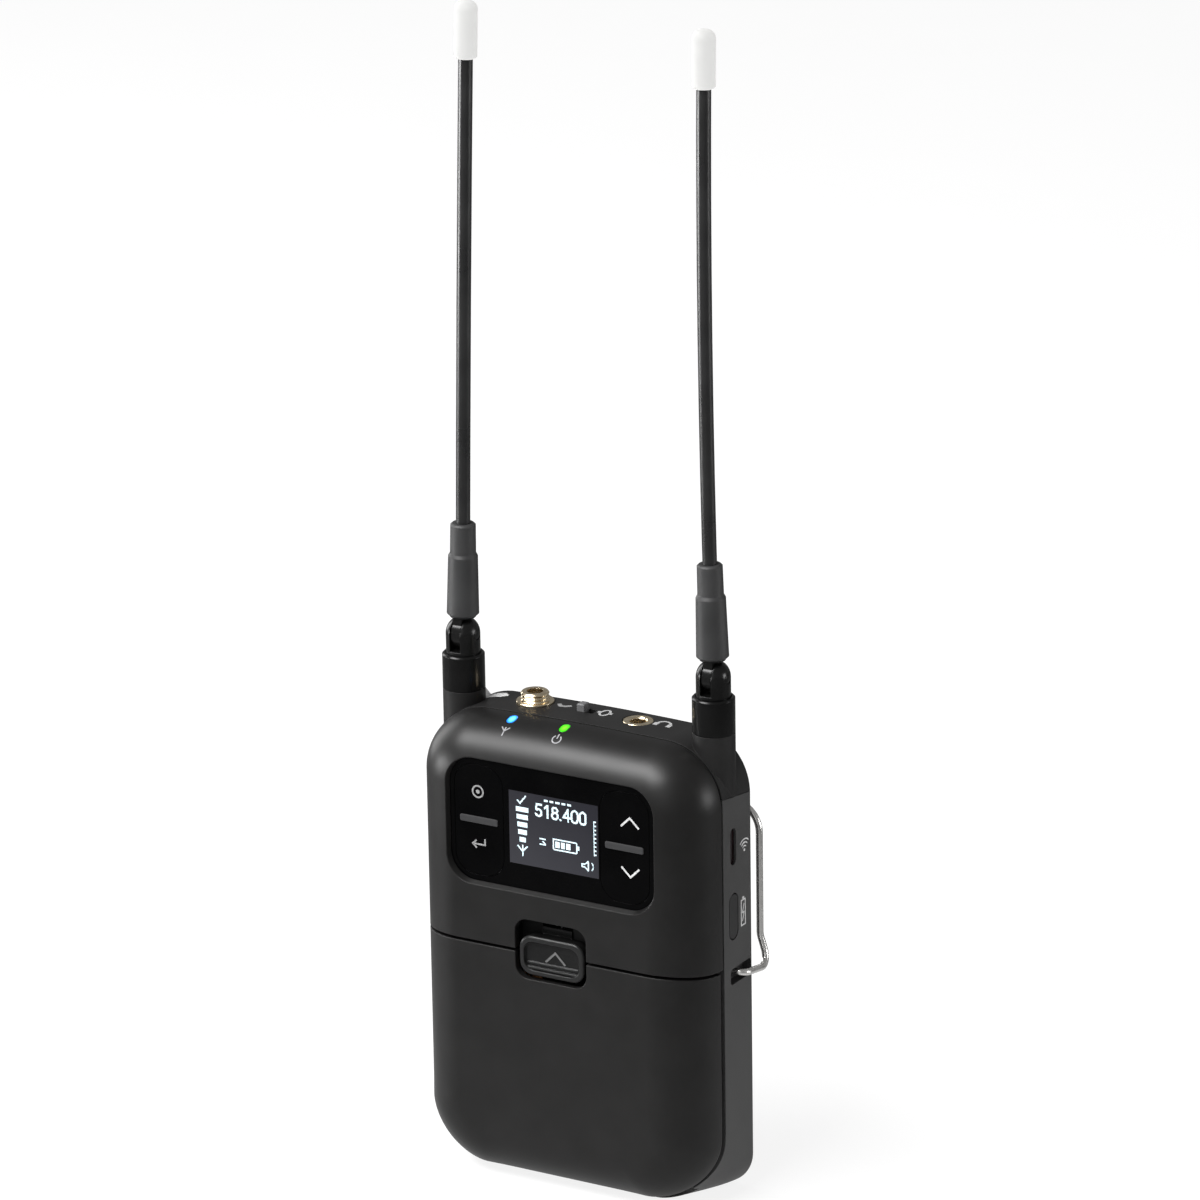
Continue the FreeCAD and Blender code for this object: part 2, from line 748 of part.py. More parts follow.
def display_panel():
    panel = plate(panel_width, panel_height, panel_radius, 0, panel_z, panel_front, panel_back)
    cuts = [plate(key_width + 2 * key_gap, key_height + 2 * key_gap, key_radius + key_gap,
                  s * key_offset, panel_z, panel_front - 1, panel_back + 1) for s in (-1, 1)]
    cuts.append(box(screen_offset - screen_width / 2, screen_offset + screen_width / 2,
                    panel_front - 1, panel_back + 1, panel_z - screen_height / 2, panel_z + screen_height / 2))
    return panel.cut(cuts)


def display_window():
    x, z = screen_width / 2 - press_clearance, screen_height / 2 - press_clearance
    return box(screen_offset - x, screen_offset + x, panel_front, panel_back, panel_z - z, panel_z + z)


def display_module():
    x, z = module_width / 2, module_height / 2
    return box(screen_offset - x, screen_offset + x, panel_back + slip_clearance, control_board_y,
               panel_z - z, panel_z + z)


def rocker_key(s):
    x = s * key_offset
    back = panel_front + key_thickness
    key = plate(key_width, key_height, key_radius, x, panel_z, panel_front, back)
    bar = plate(key_bar_length, key_bar_width, key_bar_radius, x, panel_z,
                panel_front - key_bar_height, panel_front + key_thickness / 2)
    bar = bar.makeFillet(key_bar_edge,
                         [e for e in bar.Edges if e.BoundBox.YMax < panel_front - key_bar_height + 0.01])
    post_end = panel_back + dome_play - key_post_gap
    posts = [rod(key_post_radius, point(x, back - key_thickness / 2, panel_z + t * dome_offset),
                 point(x, post_end, panel_z + t * dome_offset)) for t in (-1, 1)]
    return fused(key, bar, *posts)


def key_switches():
    return Part.makeCompound([
        rod(dome_radius, point(s * key_offset, panel_back + dome_play, panel_z + t * dome_offset),
            point(s * key_offset, control_board_y, panel_z + t * dome_offset))
        for s in (-1, 1) for t in (-1, 1)])


def control_board():
    half, tall = control_board_width / 2, control_board_height / 2
    return box(-half, half, control_board_y, control_board_y + board_thickness, panel_z - tall, panel_z + tall)


def main_board():
    half = inner_side - board_side_gap
    neck = aerial_x - boss_radius - free_clearance
    z0 = board_bottom
    z1 = case_height - 2 * cap_seam_drop + free_clearance
    wide = box(-half, half, board_y, board_y + board_thickness, z0, z1)
    narrow = box(-neck, neck, board_y, board_y + board_thickness, z1, case_height - board_top_drop)
    holes = [rod(post_radius + free_clearance, point(x, front_y, z), point(x, rear_y, z))
             for x, z in screw_places()]
    return fused(wide, narrow).cut(holes)


def shield_can(s):
    x0, x1 = sorted((s * can_spacing / 2, s * (lower_screw_x - post_radius - can_post_gap)))
    z1 = case_height - can_top_drop
    z0 = z1 - can_length
    can = box(x0, x1, board_y - can_height, board_y, z0, z1)
    return can.cut(box(x0 + can_sheet, x1 - can_sheet, board_y - can_height + can_sheet, board_y,
                       z0 + can_sheet, z1 - can_sheet))


def light_window(x):
    return light_prism(x, 0).common(case_block).cut(
        box(x - 5, x + 5, front_y, rear_y, 0, case_height - light_depth - wall))


def light_emitters():
    y = front_y + light_setback
    top = case_height - light_depth - wall - slip_clearance
    return Part.makeCompound([box(x - 0.8, x + 0.8, y - 0.8, y + 0.8, top - 1.0, top)
                              for x in (link_light_x, power_light_x)])


def output_bushing():
    top = flange_seat() + thread_rise + flange_thickness
    low = top - bushing_length
    profile = [(plug_radius, low), (thread_radius, low), (thread_radius, flange_seat() + flange_thickness)]
    z = flange_seat() + flange_thickness
    while z + thread_pitch < top - 0.1:
        profile += [(thread_radius - thread_depth, z + thread_pitch / 2), (thread_radius, z + thread_pitch)]
        z += thread_pitch
    profile += [(thread_radius - thread_depth, top), (plug_radius, top)]
    return turned(profile, point(output_jack_x, connector_y, 0))


def output_flange():
    seat = flange_seat()
    inner = thread_radius + press_clearance
    edge = flange_thickness / 4
    profile = [(inner, seat), (flange_radius, seat), (flange_radius, seat + flange_thickness - edge),
               (flange_radius - edge, seat + flange_thickness), (inner, seat + flange_thickness)]
    return turned(profile, point(output_jack_x, connector_y, 0))


def jack_body(x, seat, seat_radius):
    """Moulded socket body under the cap, bored for the plug and for the metal part seated in it."""
    half = jack_body_width / 2
    top = case_height - 2 * wall
    rear = rear_y - wall - lip_thickness - slip_clearance
    body = box(x - half, x + half, board_y + board_thickness, rear, top - jack_body_length, top)
    bore = upright(plug_radius, x, connector_y, top - jack_body_length + 1.5, top + 1)
    socket = upright(seat_radius + press_clearance, x, connector_y, seat, top + 1)
    return body.cut([bore, socket])


def output_jack():
    return jack_body(output_jack_x, flange_seat() + thread_rise + flange_thickness - bushing_length, thread_radius)


def phones_ring():
    top = case_height - phones_jack_x ** 2 / (2 * crown_radius)
    edge = 0.3
    low = top - ring_length - wall
    profile = [(plug_radius, low), (ring_radius, low), (ring_radius, top - edge / 2),
               (ring_radius - edge / 2, top), (plug_radius + edge, top), (plug_radius, top - edge)]
    return turned(profile, point(phones_jack_x, connector_y, 0))


def phones_jack():
    top = case_height - phones_jack_x ** 2 / (2 * crown_radius)
    return jack_body(phones_jack_x, top - ring_length - wall, ring_radius)


def power_switch():
    foot_top = case_height - wall - free_clearance - crown_sink(switch_x)
    top = foot_top - knob_foot - running_clearance
    half = switch_travel / 2 + knob_width
    x = switch_x + switch_travel / 2
    return box(x - half, x + half, connector_y - knob_depth, connector_y + knob_depth,
               top - switch_body_height, top)


def crown_sink(x):
    return (abs(x) + 2 * knob_width) ** 2 / (2 * crown_radius)


def power_knob():
    foot_top = case_height - wall - free_clearance - crown_sink(switch_x)
    half_x, half_y = knob_width / 2, knob_depth / 2
    knob = box(switch_x - half_x, switch_x + half_x, connector_y - half_y, connector_y + half_y,
               foot_top - knob_foot, case_height + knob_rise)
    foot = box(switch_x - knob_width, switch_x + knob_width, connector_y - 1.4 * half_y,
               connector_y + 1.4 * half_y, foot_top - knob_foot, foot_top)
    top_edges = [e for e in knob.Edges if e.BoundBox.ZMin > case_height + knob_rise - 0.01]
    return fused(knob.makeFillet(knob_width * 0.2, top_edges), foot)


def aerial_collar(s):
    edge = 0.3
    profile = [(stem_radius + running_clearance, boss_top), (boss_radius - edge / 3, boss_top),
               (boss_radius, boss_top + edge / 3), (boss_radius, collar_top - edge),
               (boss_radius - edge, collar_top), (cup_radius, collar_top), (cup_radius, cup_floor),
               (stem_radius + running_clearance, cup_floor)]
    return turned(profile, point(s * aerial_x, aerial_y, 0))


def aerial_fork(s):
    centre = point(s * aerial_x, aerial_y, 0)
    tail = boss_top - boss_floor - stem_tail
    groove = boss_top - boss_floor - slip_clearance
    inner = stem_radius - clip_groove_depth
    body = turned([(0, tail), (stem_radius, tail), (stem_radius, groove - retainer_thickness), (inner, groove -
                   retainer_thickness), (inner, groove), (stem_radius, groove),
                   (stem_radius, cup_floor + slip_clearance), (fork_radius, cup_floor + slip_clearance),
                   (fork_radius, fold_z), (0, fold_z)], centre)
    left, right = centre.x - fork_radius, centre.x + fork_radius
    crown = Part.makeSphere(fork_radius, point(centre.x, aerial_y, fold_z))
    slot = box(centre.x - fork_slot / 2, centre.x + fork_slot / 2, aerial_y - 2 * fork_radius,
               aerial_y + 2 * fork_radius, fold_z - fork_slot_floor, fold_z + 2 * fork_radius)
    bore = rod(pin_radius + press_clearance, point(left - 1, aerial_y, fold_z), point(right + 1, aerial_y, fold_z))
    return fused(body, crown).cut([slot, bore])


def aerial_retainer(s):
    groove = boss_top - boss_floor - slip_clearance
    inner = stem_radius - clip_groove_depth + press_clearance
    ring = turned([(inner, groove - retainer_thickness + press_clearance), (retainer_radius, groove -
                   retainer_thickness + press_clearance), (retainer_radius, groove - press_clearance),
                   (inner, groove - press_clearance)], point(s * aerial_x, aerial_y, 0))
    mouth = box(s * aerial_x - inner, s * aerial_x + inner, aerial_y, aerial_y + 2 * retainer_radius,
                groove - 1, groove + 1)
    return ring.cut(mouth)


def aerial_pin(s):
    """Fold pin, dressed flush with the fork's round crown."""
    x = s * aerial_x
    shank = rod(pin_radius, point(x - fork_radius, aerial_y, fold_z), point(x + fork_radius, aerial_y, fold_z))
    return shank.common(Part.makeSphere(fork_radius - press_clearance, point(x, aerial_y, fold_z)))


def leaned(shape, s):
    """Lean the upper aerial sideways about its fold pin."""
    angle = left_lean_angle if s < 0 else right_lean_angle
    shape.rotate(point(s * aerial_x, aerial_y, fold_z), point(0, 1, 0), angle)
    return shape


def aerial_tongue(s):
    x = s * aerial_x
    half = tongue_thickness / 2
    eye = rod(tongue_radius, point(x - half, aerial_y, fold_z), point(x + half, aerial_y, fold_z))
    start = fold_z + shoulder_start
    web = box(x - half, x + half, aerial_y - shoulder_radius * 0.85, aerial_y + shoulder_radius * 0.85,
              fold_z, start + shoulder_length / 2)
    bore = rod(pin_radius + running_clearance, point(x - 2 * half, aerial_y, fold_z),
               point(x + 2 * half, aerial_y, fold_z))
    shoulder = upright(shoulder_radius, x, aerial_y, start, start + shoulder_length)
    spigot = upright(spigot_radius, x, aerial_y, start, start + shoulder_length + spigot_length)
    return fused(fused(eye, web).cut(bore), leaned(fused(shoulder, spigot), s))


def sleeve_foot():
    return fold_z + shoulder_start + shoulder_length + press_clearance


def aerial_sleeve(s):
    foot = sleeve_foot()
    top = foot + sleeve_length
    step = foot + sleeve_step
    edge = 0.35
    bore = spigot_radius + press_clearance
    middle = foot + spigot_length + press_clearance
    outer = [(bore, foot), (sleeve_foot_radius - edge, foot), (sleeve_foot_radius, foot + edge),
             (sleeve_step_radius, step), (sleeve_neck_radius, step + 2 * edge),
             (sleeve_top_radius, top - edge), (sleeve_top_radius - edge, top)]
    inner = [(whip_radius + press_clearance, top), (whip_radius + press_clearance, middle), (bore, middle)]
    return leaned(turned(outer + inner, point(s * aerial_x, aerial_y, 0)), s)


def whip_run(s):
    """Start, direction and far end of the whip's gentle sideways bow, with its bend centre."""
    if s < 0:
        lean, bend = left_lean_angle, left_bend_angle
    else:
        lean, bend = right_lean_angle, right_bend_angle
    pivot = point(s * aerial_x, aerial_y, fold_z)
    base = sleeve_foot() + spigot_length + 2 * press_clearance
    lean_angle = math.radians(lean)
    up = point(math.sin(lean_angle), 0, math.cos(lean_angle))
    start = pivot.add(up * (base - fold_z))
    radius = whip_length / math.radians(bend)
    side = point(math.cos(lean_angle), 0, -math.sin(lean_angle))
    return start, up, start.add(side * radius), bend


def aerial_whip(s):
    start, up, centre, bend = whip_run(s)
    section = Part.Face(Part.Wire(Part.makeCircle(whip_radius, start, up)))
    return section.revolve(centre, point(0, 1, 0), bend)


def aerial_tip(s):
    start, up, centre, bend = whip_run(s)
    low = start.z + whip_length - tip_bore
    dome = tip_radius * 0.8
    profile = [(0, low + tip_length), (tip_radius - dome, low + tip_length)]
    for step in range(1, 6):
        angle = math.radians(18 * step)
        profile.append((tip_radius - dome + dome * math.sin(angle), low + tip_length - dome + dome * math.cos(angle)))
    edge = 0.25
    bore = whip_radius + press_clearance
    profile += [(tip_radius, low + edge), (tip_radius - edge, low), (bore, low),
                (bore, start.z + whip_length + press_clearance), (0, start.z + whip_length + press_clearance)]
    tip = turned(profile, point(start.x, start.y, 0))
    lean = math.degrees(math.atan2(up.x, up.z))
    tip.rotate(start, point(0, 1, 0), lean)
    end = start.sub(centre)
    turned_end = FreeCAD.Rotation(point(0, 1, 0), bend).multVec(end)
    straight_end = start.add(up * whip_length)
    tip.translate(centre.add(turned_end).sub(straight_end))
    tip.rotate(centre.add(turned_end), point(0, 1, 0), bend)
    return tip


def battery(s):
    x = s * cell_spacing / 2
    can = upright(cell_radius, x, cell_y, cell_floor, cell_floor + cell_length)
    can = can.makeFillet(0.5, [e for e in can.Edges if e.Closed])
    nub = upright(cell_nub_radius, x, cell_y, cell_floor + cell_length - 0.5, cell_floor + cell_length + cell_nub)
    cell = fused(can, nub)
    if s > 0:
        cell.rotate(point(x, cell_y, cell_floor + (cell_length + cell_nub) / 2), point(0, 1, 0), 180)
    return cell


def battery_tray():
    half = cell_spacing / 2 + cell_radius + tray_wall
    body = box(-half, half, cell_y - tray_front, rear_y - wall - running_clearance,
               wall + running_clearance, tray_ceiling + tray_wall)
    bays = [upright(cell_radius + cell_play, s * cell_spacing / 2, cell_y, tray_floor, tray_ceiling)
            for s in (-1, 1)]
    return body.cut(bays)


def battery_terminals():
    z = cell_top + terminal_gap
    return Part.makeCompound([
        upright(contact_radius, s * cell_spacing / 2, cell_y, z, z + contact_thickness) for s in (-1, 1)])


def battery_bridge():
    z = tray_floor
    pads = [upright(contact_radius, s * cell_spacing / 2, cell_y, z, z + contact_thickness) for s in (-1, 1)]
    link_back = cell_y - tray_front - slip_clearance
    link_front = link_back - contact_strip
    half = cell_spacing / 2
    link = box(-half, half, link_front, link_back, z, z + contact_thickness)
    arms = [box(s * half - contact_strip, s * half + contact_strip, link_front, cell_y, z, z + contact_thickness)
            for s in (-1, 1)]
    return fused(link, *pads, *arms)


def contact_springs():
    z = tray_floor + contact_thickness
    height = cell_floor - z - contact_spring_play
    return Part.makeCompound([
        coil(contact_spring_radius, contact_wire, height, contact_spring_turns,
             point(s * cell_spacing / 2, cell_y, z)) for s in (-1, 1)])


def infrared_window_part():
    outer = half_width - infrared_recess
    return side_plate(infrared_length - 2 * running_clearance, infrared_width - 2 * running_clearance,
                      side_port_y, infrared_height, outer - infrared_window, outer)


def infrared_module():
    outer = half_width - infrared_recess - infrared_window - slip_clearance
    back = board_y + board_thickness
    return box(inner_side - board_side_gap - 2, outer, back, side_port_y + infrared_width / 2,
               infrared_height - 2.2, infrared_height + 2.2)


def charge_port():
    outer = half_width - cover_thickness - cover_inset - slip_clearance
    shell = side_plate(port_length, port_width, side_port_y, charge_height, outer - port_depth, outer)
    cavity = side_plate(port_length - 2 * port_shell, port_width - 2 * port_shell, side_port_y, charge_height,
                        outer - port_depth + port_shell, outer + 1)
    blade = box(outer - port_depth, outer - plug_stub - 2 * slip_clearance, side_port_y - port_blade / 2,
                side_port_y + port_blade / 2, charge_height - port_length / 2 + 1.5,
                charge_height + port_length / 2 - 1.5)
    return fused(shell.cut(cavity), blade)


def charge_cover():
    inner = half_width - cover_thickness - cover_inset
    lid = side_plate(cover_length - 2 * free_clearance, cover_width - 2 * free_clearance, side_port_y,
                     charge_height, inner, half_width - cover_inset)
    shrink = 2 * port_shell + 2 * slip_clearance
    stub = side_plate(port_length - shrink, port_width - shrink, side_port_y, charge_height,
                      inner - plug_stub, inner + cover_thickness / 2)
    return fused(lid, stub)


def belt_clip():
    side = half_width + clip_side_gap + clip_wire_radius
    heel_y = rear_y + clip_heel + clip_wire_radius
    upright_y = rear_y + clip_stand_off + clip_wire_radius
    heel_z = clip_pivot_height - clip_heel_drop
    upright_x = half_width - clip_upright_inset
    half = [point(half_width - clip_grip, clip_pivot_y, clip_pivot_height),
            point(side, clip_pivot_y, clip_pivot_height),
            point(side - clip_heel_inset, heel_y, heel_z),
            point(upright_x, upright_y, clip_pivot_height + clip_knee_rise),
            point(upright_x, upright_y, clip_top)]
    mirror = [point(-p.x, p.y, p.z) for p in reversed(half)]
    bends = [clip_tight_bend, clip_heel_bend, clip_bend, clip_bend]
    return bent_wire(half + mirror, bends + bends[::-1], clip_wire_radius)


def case_screws():
    screws = []
    for x, z in screw_places():
        seat = rear_y - screw_head
        shank = rod(screw_radius, point(x, rear_y - wall - screw_reach, z), point(x, seat, z))
        head = rod(screw_head_radius, point(x, seat, z), point(x, rear_y - slip_clearance, z))
        slots = [box(x - a, x + a, rear_y - screw_slot, rear_y, z - b, z + b)
                 for a, b in ((screw_slot / 2, screw_head_radius * 0.7), (screw_head_radius * 0.7, screw_slot / 2))]
        screws.append(fused(shank, head).cut(slots))
    return Part.makeCompound(screws)


parts = {
    "front_shell": front_shell(),
    "rear_shell": rear_shell(),
    "top_cap": top_cap(),
    "battery_door": battery_door(),
    "door_hinge_pins": door_hinge_pins(),
    "door_latch": door_latch(),
    "latch_housing": latch_housing(),
    "latch_spring": latch_spring(),
    "display_panel": display_panel(),
    "display_window": display_window(),
    "display_module": display_module(),
    "left_key": rocker_key(-1),
    "right_key": rocker_key(1),
    "key_switches": key_switches(),
    "control_board": control_board(),
    "main_board": main_board(),
    "radio_shield": shield_can(-1),
    "audio_shield": shield_can(1),
    "link_light_window": light_window(link_light_x),
    "power_light_window": light_window(power_light_x),
    "light_emitters": light_emitters(),
    "output_bushing": output_bushing(),
    "output_flange": output_flange(),
    "output_jack_body": output_jack(),
    "phones_ring": phones_ring(),
    "phones_jack_body": phones_jack(),
    "power_switch_body": power_switch(),
    "power_switch_knob": power_knob(),
    "battery_left": battery(-1),
    "battery_right": battery(1),
    "battery_tray": battery_tray(),
    "battery_terminals": battery_terminals(),
    "battery_bridge": battery_bridge(),
    "battery_springs": contact_springs(),
    "infrared_window": infrared_window_part(),
    "infrared_module": infrared_module(),
    "charge_port": charge_port(),
    "charge_port_cover": charge_cover(),
    "belt_clip": belt_clip(),
    "case_screws": case_screws(),
}
for side_name, side in (("left", -1), ("right", 1)):
    parts.update({
        side_name + "_aerial_collar": aerial_collar(side),
        side_name + "_aerial_fork": aerial_fork(side),
        side_name + "_aerial_retainer": aerial_retainer(side),
        side_name + "_aerial_pin": aerial_pin(side),
        side_name + "_aerial_tongue": aerial_tongue(side),
        side_name + "_aerial_sleeve": aerial_sleeve(side),
        side_name + "_aerial_whip": aerial_whip(side),
        side_name + "_aerial_tip": aerial_tip(side),
    })

os.makedirs("parts", exist_ok=True)
for name, shape in parts.items():
    shape.exportStep(os.path.join("parts", name + ".step"))
    print(name, "solids", len(shape.Solids), "valid", shape.isValid(), "volume", round(shape.Volume, 1))
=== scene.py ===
import math

import bmesh
import bpy
from mathutils import Matrix, Vector
from mathutils.bvhtree import BVHTree


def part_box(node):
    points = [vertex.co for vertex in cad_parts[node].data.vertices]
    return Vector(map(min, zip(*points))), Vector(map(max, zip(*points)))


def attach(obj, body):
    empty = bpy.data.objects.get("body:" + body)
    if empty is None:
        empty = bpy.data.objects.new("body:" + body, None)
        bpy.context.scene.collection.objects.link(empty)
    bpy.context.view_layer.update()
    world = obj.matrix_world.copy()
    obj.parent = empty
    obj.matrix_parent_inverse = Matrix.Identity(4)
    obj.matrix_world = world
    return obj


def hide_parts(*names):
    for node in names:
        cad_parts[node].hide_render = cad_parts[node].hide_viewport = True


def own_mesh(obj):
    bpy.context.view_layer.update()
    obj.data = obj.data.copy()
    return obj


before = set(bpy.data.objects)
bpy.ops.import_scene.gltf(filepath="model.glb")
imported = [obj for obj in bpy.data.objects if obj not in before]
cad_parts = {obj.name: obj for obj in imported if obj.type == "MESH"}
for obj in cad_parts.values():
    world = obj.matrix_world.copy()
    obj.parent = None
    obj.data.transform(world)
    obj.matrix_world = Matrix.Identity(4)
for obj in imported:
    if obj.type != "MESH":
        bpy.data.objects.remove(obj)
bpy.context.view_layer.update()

# ---- Front shell and battery door
# The front half of the case and the drop-down battery door under it. Both are injection moulded in
# black plastic and sprayed with one fine satin paint, so their grain runs on across the seam.

MM = 0.001


def new_finish(name):
    """An empty shader tree with its Principled shader and output, ready for a finish."""
    finish = bpy.data.materials.new(name)
    finish.use_nodes = True
    tree = finish.node_tree
    tree.nodes.clear()
    output = tree.nodes.new("ShaderNodeOutputMaterial")
    shader = tree.nodes.new("ShaderNodeBsdfPrincipled")
    tree.links.new(shader.outputs["BSDF"], output.inputs["Surface"])
    return finish, tree, shader


def grain_noise(tree, scale, detail=3.0, stretch=(1, 1, 1)):
    """Noise laid out in metres on the object, stretched along any axis."""
    place = tree.nodes.new("ShaderNodeTexCoord")
    spread = tree.nodes.new("ShaderNodeMapping")
    spread.inputs["Scale"].default_value = stretch
    noise = tree.nodes.new("ShaderNodeTexNoise")
    noise.inputs["Scale"].default_value = scale
    noise.inputs["Detail"].default_value = detail
    tree.links.new(place.outputs["Object"], spread.inputs["Vector"])
    tree.links.new(spread.outputs["Vector"], noise.inputs["Vector"])
    return noise


def tint_between(tree, shader, noise, dark, light):
    """Base colour that wanders between two near tones."""
    ramp = tree.nodes.new("ShaderNodeValToRGB")
    ramp.color_ramp.elements[0].position = 0.32
    ramp.color_ramp.elements[0].color = dark
    ramp.color_ramp.elements[1].position = 0.68
    ramp.color_ramp.elements[1].color = light
    tree.links.new(noise.outputs["Fac"], ramp.inputs["Fac"])
    tree.links.new(ramp.outputs["Color"], shader.inputs["Base Color"])
    return ramp


def gloss_between(tree, shader, noise, low, high):
    """Roughness that wanders between two values."""
    spread = tree.nodes.new("ShaderNodeMapRange")
    spread.inputs["From Min"].default_value = 0.3
    spread.inputs["From Max"].default_value = 0.7
    spread.inputs["To Min"].default_value = low
    spread.inputs["To Max"].default_value = high
    tree.links.new(noise.outputs["Fac"], spread.inputs["Value"])
    tree.links.new(spread.outputs["Result"], shader.inputs["Roughness"])


def raised_grain(tree, shader, noise, height, soft_edge):
    """Fine relief over edges that are broken by a small radius."""
    edge = tree.nodes.new("ShaderNodeBevel")
    edge.samples = 4
    edge.inputs["Radius"].default_value = soft_edge
    bump = tree.nodes.new("ShaderNodeBump")
    bump.inputs["Strength"].default_value = 1.0
    bump.inputs["Distance"].default_value = height
    tree.links.new(noise.outputs["Fac"], bump.inputs["Height"])
    tree.links.new(edge.outputs["Normal"], bump.inputs["Normal"])
    tree.links.new(bump.outputs["Normal"], shader.inputs["Normal"])


def satin_finish(name, dark, light, gloss, specular, grain=5200, height=0.003 * MM,
                 soft_edge=0.2 * MM):
    """Painted or moulded surface: faint mottling, wandering gloss and a fine raised grain."""
    finish, tree, shader = new_finish(name)
    broad = grain_noise(tree, 140, 4)
    tint_between(tree, shader, broad, dark, light)
    gloss_between(tree, shader, broad, *gloss)
    raised_grain(tree, shader, grain_noise(tree, grain, 2), height, soft_edge)
    shader.inputs["Specular IOR Level"].default_value = specular
    return finish


def dress(finish, *names):
    """Give carried-over pieces their finish."""
    for name in names:
        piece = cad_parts[name]
        if not piece.material_slots:
            piece.data.materials.append(finish)
        for held in piece.material_slots:
            held.material = finish


shell_paint = satin_finish("satin_black_paint",
                           dark=(0.0066, 0.0064, 0.0063, 1), light=(0.0082, 0.0079, 0.0078, 1),
                           gloss=(0.37, 0.40), specular=0.26, soft_edge=0.35 * MM)
dress(shell_paint, "front_shell", "battery_door")

# ---- Rear shell and top cap
# The rear half of the case is die cast in aluminium and painted a slightly greyer black. The top
# cap with its two aerial bosses is moulded plastic, textured to match. Four screws hold the halves
# together, and the battery door turns on two ground steel pins.

rear_paint = satin_finish("rear_shell_paint",
                          dark=(0.034, 0.0338, 0.034, 1), light=(0.040, 0.0398, 0.040, 1),
                          gloss=(0.44, 0.5), specular=0.34, grain=4200, height=0.006 * MM)
cap_plastic = satin_finish("top_cap_plastic",
                           dark=(0.0095, 0.0093, 0.0093, 1), light=(0.0135, 0.0132, 0.0132, 1),
                           gloss=(0.42, 0.5), specular=0.18, grain=4200, height=0.006 * MM)
dress(rear_paint, "rear_shell")
dress(cap_plastic, "top_cap")


def drawn_metal(name, dark, light, gloss, stretch=(1, 1, 1), scale=900, height=0.002 * MM):
    """Bare metal with fine drawing or turning marks along the stretched axis."""
    finish, tree, shader = new_finish(name)
    marks = grain_noise(tree, scale, 4, stretch)
    tint_between(tree, shader, marks, dark, light)
    gloss_between(tree, shader, marks, *gloss)
    raised_grain(tree, shader, marks, height, 0.12 * MM)
    shader.inputs["Metallic"].default_value = 1.0
    return finish


def grey(level):
    """A neutral tone."""
    return (level, level, level, 1)


screw_steel = drawn_metal("blackened_screw_steel",
                          dark=(0.09, 0.09, 0.092, 1), light=(0.16, 0.16, 0.162, 1),
                          gloss=(0.3, 0.42))
hinge_steel = drawn_metal("ground_pin_steel", dark=grey(0.5), light=grey(0.66), gloss=(0.2, 0.32))
dress(screw_steel, "case_screws")
dress(hinge_steel, "door_hinge_pins")

# ---- Control panel and rocker keys
# A piano-black polycarbonate panel glued into a chamfered recess, with a rocker key let in at each
# side of the display. Each key has a raised bar across its middle to feel for with a thumb.


def piano_black(name, soft_edge):
    """Polished black polycarbonate."""
    return satin_finish(name, dark=(0.0007, 0.0007, 0.0008, 1), light=(0.0012, 0.0012, 0.0013, 1),
                        gloss=(0.1, 0.16), specular=0.07, grain=900, height=0.0005 * MM,
                        soft_edge=soft_edge)


def ahead_of(finish, level, tint, gloss):
    """A second surface on whatever stands ahead of a level: its own tone and roughness."""
    tree = finish.node_tree
    shader = tree.nodes["Principled BSDF"]
    place = tree.nodes.new("ShaderNodeTexCoord")
    split = tree.nodes.new("ShaderNodeSeparateXYZ")
    ahead = tree.nodes.new("ShaderNodeMath")
    ahead.operation = "LESS_THAN"
    ahead.inputs[1].default_value = level
    tree.links.new(place.outputs["Object"], split.inputs["Vector"])
    tree.links.new(split.outputs["Y"], ahead.inputs[0])
    tone = tree.nodes.new("ShaderNodeMixRGB")
    tone.inputs["Color2"].default_value = tint
    tree.links.new(ahead.outputs[0], tone.inputs["Fac"])
    tree.links.new(shader.inputs["Base Color"].links[0].from_socket, tone.inputs["Color1"])
    tree.links.new(tone.outputs["Color"], shader.inputs["Base Color"])
    rough = tree.nodes.new("ShaderNodeMix")
    rough.inputs["B"].default_value = gloss
    tree.links.new(ahead.outputs[0], rough.inputs["Factor"])
    tree.links.new(shader.inputs["Roughness"].links[0].from_socket, rough.inputs["A"])
    tree.links.new(rough.outputs["Result"], shader.inputs["Roughness"])


panel_low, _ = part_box("display_panel")
panel_front = panel_low[1]
key_gloss = piano_black("piano_black_key", soft_edge=0.05 * MM)
ahead_of(key_gloss, panel_front - 0.03 * MM, tint=(0.032, 0.032, 0.033, 1), gloss=0.4)
dress(piano_black("piano_black_panel", soft_edge=0.1 * MM), "display_panel")
dress(key_gloss, "left_key", "right_key")

# ---- Printed marks on the keys
# Fine pale marks pad-printed on the rocker keys: a select ring and a return arrow on the left one,
# and an up and a down chevron on the right one. The ink stands a few hundredths of a millimetre
# proud.

RIGHT, UP = (1, 0, 0), (0, 0, 1)
INK_STEP = 0.3  # the longest straight run between two points of a mark, in millimetres
INK_PROUD = 0.03 * MM
PRESS_FROM = 12 * MM  # how far off the surface a mark starts before it is pressed on
SHARPEST = 0.5  # stops the outer edge of a sharp turn from running out to a long point


def ink(name, dark, light, glow=0.0):
    """Printing ink, or with glow the light of a display behind it."""
    finish, tree, shader = new_finish(name)
    patchy = grain_noise(tree, 2600, 3)
    ramp = tint_between(tree, shader, patchy, dark, light)
    gloss_between(tree, shader, patchy, 0.45, 0.6)
    shader.inputs["Specular IOR Level"].default_value = 0.2
    if glow:
        tree.links.new(ramp.outputs["Color"], shader.inputs["Emission Color"])
        shader.inputs["Emission Strength"].default_value = glow
    return finish


